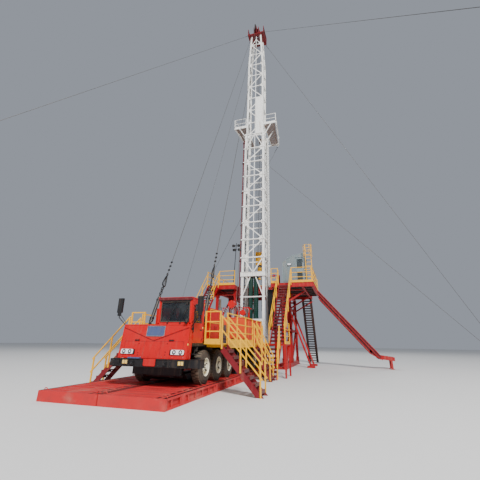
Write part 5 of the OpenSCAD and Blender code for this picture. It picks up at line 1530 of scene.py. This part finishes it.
# %% [markdown]
# Roof sheet, rain strip, aerial and a roof box finish the cabin, with a lamp beside the door.
# The ladder's cage is three part hoops and four uprights, swept as tubes.

# %% Cabin roof, lamp and ladder cage
roof, cab_lamp, cab_lens = Metalwork(), Metalwork(), Metalwork()
middle = (CY0 + CY1) / 2
roof.bar(well(CX0 - 0.02, middle, DECK_Z + 1.935), well(CX0 + 0.85, middle, DECK_Z + 2.45),
         CY1 - CY0 + 0.06, 0.020, SLOPE)
roof.plate((3.26, -1.20, 8.17), (3.88, -1.148, 8.21))
roof.rod(well(4.42, -1.10, 8.3), well(4.42, -1.10, 9.32), 0.012, 8)
roof.rod(well(4.42, -1.10, 8.28), well(4.42, -1.10, 8.40), 0.024, 10)
roof.plate((3.05, 0.3, 8.46), (3.65, 1.2, 8.76))
roof.make("cabin_roof_parts", cabin_paint, bevel=0.008)
cab_lamp.plate((2.60, -1.26, 7.55), (2.90, -1.15, 7.73))
cab_lens.plate((2.62, -1.272, 7.57), (2.88, -1.258, 7.71))
cab_lamp.make("cabin_lamp", black_paint, bevel=0.012)
cab_lens.make("cabin_lamp_lens", clear_lamp)


def cage_point(k, z):
    """Step k of eleven round the cage's open hoop."""
    a = math.radians(-215 + 25 * k)
    return well(4.295 + 0.34 * math.cos(a), -1.43 + 0.36 * math.sin(a), z)


cage = [[cage_point(k, z) for k in range(11)] for z in (8.15, 8.60, 9.05)]
cage += [[cage_point(k, z) for z in (8.15, 9.05)] for k in (2, 4, 6, 8)]
tubes("cabin_ladder_cage", cage, 0.014, yellow_paint)

# %% [markdown]
# The two base frames are bolted from sections, so every corner has a gusset or a pin plate.
# Their feet stand on spreader plates. The black framed sheet beside the main stair is painted
# shade: it stands for the dark under the floor there.

# %% Substructure
OUTWARD = (2.36, 1.71, -1.49, -3.04)     # the posts whose gussets face +X
plates, pins, shade_sheet, sub_bolts = Metalwork(), Metalwork(), Metalwork(), []
for x in (1.49, 1.71, 2.14, 2.36, -1.49, -1.71, -3.04, -3.26):
    way = 1 if x in OUTWARD else -1
    for y in (-1.80, 1.50, 4.80):
        for z in (0.42, 2.66, 5.24):
            plates.plate((x - 0.008, y - 0.22, z - 0.17), (x + 0.008, y + 0.22, z + 0.17))
            sub_bolts += [(well(x + way * 0.008, y + dy, z + dz), (way, 0, 0))
                          for dy in (-0.17, 0.17) for dz in (-0.12, 0.12)]
        pins.rod(well(x - 0.02, y, 2.66), well(x + 0.02, y, 2.66), 0.055, 20)
for x0, x1 in ((1.46, 2.39), (-3.29, -1.46)):
    for y in (-2.15, 1.30, 4.95):
        plates.plate((x0, y - 0.04, 0.0), (x1, y + 0.30, 0.05))
for y in (0.40, 0.63, 2.90, 3.13):
    pins.rod(well(2.22, y - 0.075, 4.40), well(2.22, y + 0.075, 4.40), 0.05, 16)
    pins.rod(well(3.66, y - 0.08, 0.40), well(3.66, y + 0.08, 0.40), 0.05, 16)
# Painted shade: a black framed sheet for the dark under the floor beside the main stair.
shade_sheet.plate((1.12, -1.985, 2.60), (1.70, -1.955, 5.55))
for z in (2.62, 3.60, 4.58, 5.52):
    shade_sheet.plate((1.10, -2.010, z - 0.025), (1.72, -1.950, z + 0.025))
for x in (1.11, 1.71):
    shade_sheet.plate((x - 0.020, -2.010, 2.58), (x + 0.020, -1.950, 5.57))
shade_sheet.make("stair_shade_sheet", black_paint, bevel=0.004)
plates.make("base_gussets", frame_red, bevel=0.004)
pins.make("base_pins", greasy, bevel=0.004)
studs("base_bolts", sub_bolts, 0.018, 0.022, greasy)

# %% [markdown]
# A stair tread on a rig is a folded pan, so each gets a front edge deeper than its plate. One
# generator gives the place of every tread from a flight's run and rise.

# %% Stair treads
WALK_Z, STEP_RISE = 1.70, 0.215


def treads(run, rise, z_top):
    """How far out and how high each tread's front lies."""
    n = round(rise / STEP_RISE)
    for i in range(1, n):
        yield run * (i + 0.5) / n, z_top - rise * i / n


def side_treads():
    """The tread fronts of the two flights on the carrier's right side."""
    for y, run in ((-14.60, 1.60), (-9.85, 0.93)):
        for d, z in treads(run, WALK_Z, WALK_Z):
            yield ((2.00 + d - 0.012, y + 0.045, z - 0.11),
                   (2.00 + d + 0.010, y + 0.655, z - 0.001))


fronts, back_fronts = Metalwork(), Metalwork()
for x in (2.08, -3.75):
    for y, run, rise, z_top in ((-2.50, 3.90, 4.28, DECK_Z), (-8.00, 1.00, 1.67, 1.67)):
        for d, z in treads(run, rise, z_top):
            fronts.plate((x + 0.045, y - d - 0.010, z - 0.11),
                         (x + 0.855, y - d + 0.012, z - 0.001))
for low, high in side_treads():
    fronts.plate(low, high)
fronts.make("tread_fronts", pipe_red)
REAR_STEPS = 28
for i in range(1, REAR_STEPS):
    y, z = 5.20 + 3.40 * i / REAR_STEPS, DECK_Z - DECK_Z * i / REAR_STEPS
    back_fronts.plate((2.995, y + 0.052, z - 0.09), (3.705, y + 0.066, z - 0.001))
back_fronts.make("rear_tread_fronts", brown_steel)

# %% [markdown]
# The landings get trims and floor sheets, and the walkway beside the carrier is laid with eight
# loose plates over a bolted edge.

# %% Landings and walkway
landing, deck_plates = Metalwork(), Metalwork()
for x in (2.00, -4.16):
    for z in (1.595, 1.655):
        landing.plate((x - 0.012, -8.012, z), (x + 1.342, -7.985, z + 0.018))
    landing.plate((x + 0.05, -7.95, 1.670), (x + 1.28, -6.45, 1.676))
landing.make("landing_trims", frame_red)
studs("walkway_bolts", [(well(2.002, -13.7 + 0.42 * k, 1.60), (1, 0, 0)) for k in range(17)],
      0.014, 0.016, greasy)
for y in (-14.58 + k * 1.01 for k in range(8)):
    deck_plates.plate((1.36, y, WALK_Z - 0.001), (1.96, y + 0.97, WALK_Z + 0.0045))
deck_plates.make("walkway_plates", tread_plate)

# %% [markdown]
# The photograph shows that the carrier's left side has the same walkway, rails and two short
# stairs as its right. They are the right side's own shapes, mirrored across the middle.

# %% The left walkway and its stairs
def mirrored_piece(node, name, finish):
    """A copy of the node's mesh on the other side, with its faces turned outwards again."""
    data = nodes[node].data.copy()
    data.name = name
    data.transform(Matrix.Diagonal((-1, 1, 1, 1)) @ nodes[node].matrix_world)
    data.flip_normals()
    data.materials.clear()
    data.materials.append(finish)
    for face in data.polygons:
        face.material_index = 0
    piece = bpy.data.objects.new(name, data)
    bpy.context.scene.collection.objects.link(piece)
    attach(piece, "rig")
    print(name, len(data.polygons), "faces")


mirrored_piece("carrier_walkway", "left_walkway", yellow_paint)
mirrored_piece("walkway_rails", "left_walkway_rails", yellow_paint)
mirrored_piece("side_stair", "left_side_stairs", stair_red)
mirrored_piece("side_stair_rails", "left_side_stair_rails", yellow_paint)
left_fronts = Metalwork()
for low, high in side_treads():
    left_fronts.plate((-high[0], *low[1:]), (-low[0], *high[1:]))
left_fronts.make("left_tread_fronts", pipe_red)

# %% [markdown]
# Each guy ends in a shackle, a turnbuckle with an open body, a thimble and three rope clips.
# Clips and rings are the details that a taut wire rope really has, at both of its ends.

# %% Guy fittings
EYE_Z, GROUND_Z = 32.23, 0.42


def mast_eye(side, end):
    """An eye at a corner of the crown: end is -1 for the front and 1 for the rear."""
    y = UPPER_Y - 0.200 if end < 0 else UPPER_Y + UPPER_DEEP + 0.200
    return on_mast(side * 0.760, y, EYE_Z)


def clips_at(spots, way, across, half, wide, thick):
    """A rope clip across the guy at each of the spots."""
    for spot in spots:
        fit.bar(spot - across * half, spot + across * half, wide, thick, way)


GUYS = [(mast_eye(-1, -1), well(-18.3, -25.5, GROUND_Z)),
        (mast_eye(1, -1), well(18.3, -25.5, GROUND_Z)),
        (mast_eye(-1, 1), well(-14.0, 10.3, GROUND_Z)),
        (mast_eye(1, 1), well(18.3, 4.6, GROUND_Z)),
        (well(1.700, 2.480, 21.865), well(-13.1, 9.8, GROUND_Z)),
        (well(-1.700, 2.480, 21.865), well(17.8, 3.7, GROUND_Z))]
fit, guy_hooks = Metalwork(), []
for a, b in GUYS:
    way = (b - a).normalized()
    across = way.cross(Vector((0, 0, 1))).normalized()
    for end, d, first in ((a, way, 0.26), (b, -way, 1.35)):
        fit.ring(end + d * (first + 0.10), across, 0.055, 0.016, 16, 6)
        clips_at([end + d * (first + 0.32 + 0.16 * k) for k in range(3)],
                 way, across, 0.035, 0.03, 0.055)
    for t in (0.46, 1.34):
        p = b - way * t
        fit.bar(p - way * 0.03, p + way * 0.03, 0.085, 0.085, across)
    fit.ring(b - way * 0.20, across, 0.075, 0.022, 20, 8)
    fit.ring(b - way * 0.36, across.cross(way), 0.07, 0.020, 20, 8)

# %% [markdown]
# The two guys that come down to the carrier are nearest to the eye, so they get more: an open
# turnbuckle with two rods, five links of chain and a big hook.

# %% The carrier's guys
HOOK = ((0.0, 0.0), (0.05, 0.085), (0.16, 0.125), (0.40, 0.10), (0.80, 0.045), (1.0, 0.0),
        (0.80, -0.045), (0.40, -0.10), (0.16, -0.125), (0.05, -0.085), (0.0, 0.0))
for side, foot in ((-1, 1.98), (1, 2.32)):
    top, b = on_mast(side * 0.420, UPPER_Y - 0.200, EYE_Z), well(side * 1.19, -14.52, 2.20)
    way = (top - b).normalized()
    across = way.cross(Vector((0, 1, 0))).normalized()
    flat = across.cross(way)
    fit.ring(b + way * 0.20, across, 0.075, 0.022, 20, 8)
    fit.ring(b + way * 0.36, flat, 0.075, 0.022, 20, 8)
    for off in (-0.060, 0.060):
        fit.rod(b + way * 0.46 + across * off, b + way * 1.30 + across * off, 0.020, 10)
    for t in (0.46, 1.30):
        fit.bar(b + way * (t - 0.04), b + way * (t + 0.04), 0.17, 0.07, flat)
    for k in range(5):
        fit.ring(b + way * (1.40 + 0.115 * k), across if k % 2 else flat, 0.062, 0.018, 18, 6)
    guy_hooks.append([b + way * (foot + 0.56 * t) + flat * w for t, w in HOOK])
    fit.rod(b + way * 1.90, b + way * (foot + 0.02), 0.030, 10)
    fit.ring(b + way * (foot + 0.62), across, 0.055, 0.018, 18, 6)
    clips_at([b + way * (foot + 0.86 + 0.22 * k) for k in range(3)],
             way, across, 0.045, 0.04, 0.07)
tubes("guy_hooks", guy_hooks, 0.030, black_paint)
fit.make("guy_fittings", black_paint)

# %% [markdown]
# The pipe ramp is two beams with a trough between them. Each beam has two flanges on top and a
# deep web below, cross bars hold the trough, and foot plates spread its load on the ground.

# %% Pipe ramp
ramp, web = Metalwork(), Metalwork()
TOP, FOOT, ACROSS = Vector((4.64, 0, 5.93)), Vector((8.90, 0, 0.95)), (0, 1, 0)
for p in (TOP.lerp(FOOT, k / 9) for k in range(1, 9)):
    ramp.plate((p.x - 0.05, 1.72, p.z - 0.34), (p.x + 0.05, 2.88, p.z - 0.24))
for y in (1.63, 2.83):
    for dz in (0.005, -0.285):
        ramp.bar(well(4.66, y, 5.915 + dz), well(8.90, y, 0.945 + dz), 0.050, 0.13, ACROSS)
for y in (1.616, 2.816):
    web.bar(well(4.66, y, 5.775), well(8.90, y, 0.805), 0.17, 0.010, ACROSS)
    y += 0.05
    web.bar(well(4.70, y, 5.425), well(8.36, y, 1.135), 0.20, 0.020, ACROSS)
    web.bar(well(8.22, y, 1.250), well(8.90, y, 0.760), 0.22, 0.020, ACROSS)
    ramp.bar(well(4.70, y, 5.245), well(8.30, y, 1.025), 0.055, 0.14, ACROSS)
    ramp.bar(well(8.28, y, 1.040), well(9.05, y, 0.640), 0.055, 0.14, ACROSS)
web.make("ramp_webs", pipe_red)
for y in (1.78, 2.82):
    ramp.plate((9.52, y - 0.14, 0.0), (9.80, y + 0.14, 0.03))
ramp.make("ramp_cross_bars", frame_red)

# %% [markdown]
# The rear stair hangs in two broad channels. Their flanges are what shows from the front.

# %% Channels of the rear stair
channels = Metalwork()
for x in (2.975, 3.725):
    channels.bar(well(x, 5.2, 5.665), well(x, 8.429, 0.025), 0.22, 0.022)
channels.make("rear_stair_channels", brown_steel)

# %% [markdown]
# The last cell ends the script.

# %% The end
print("end of the script")
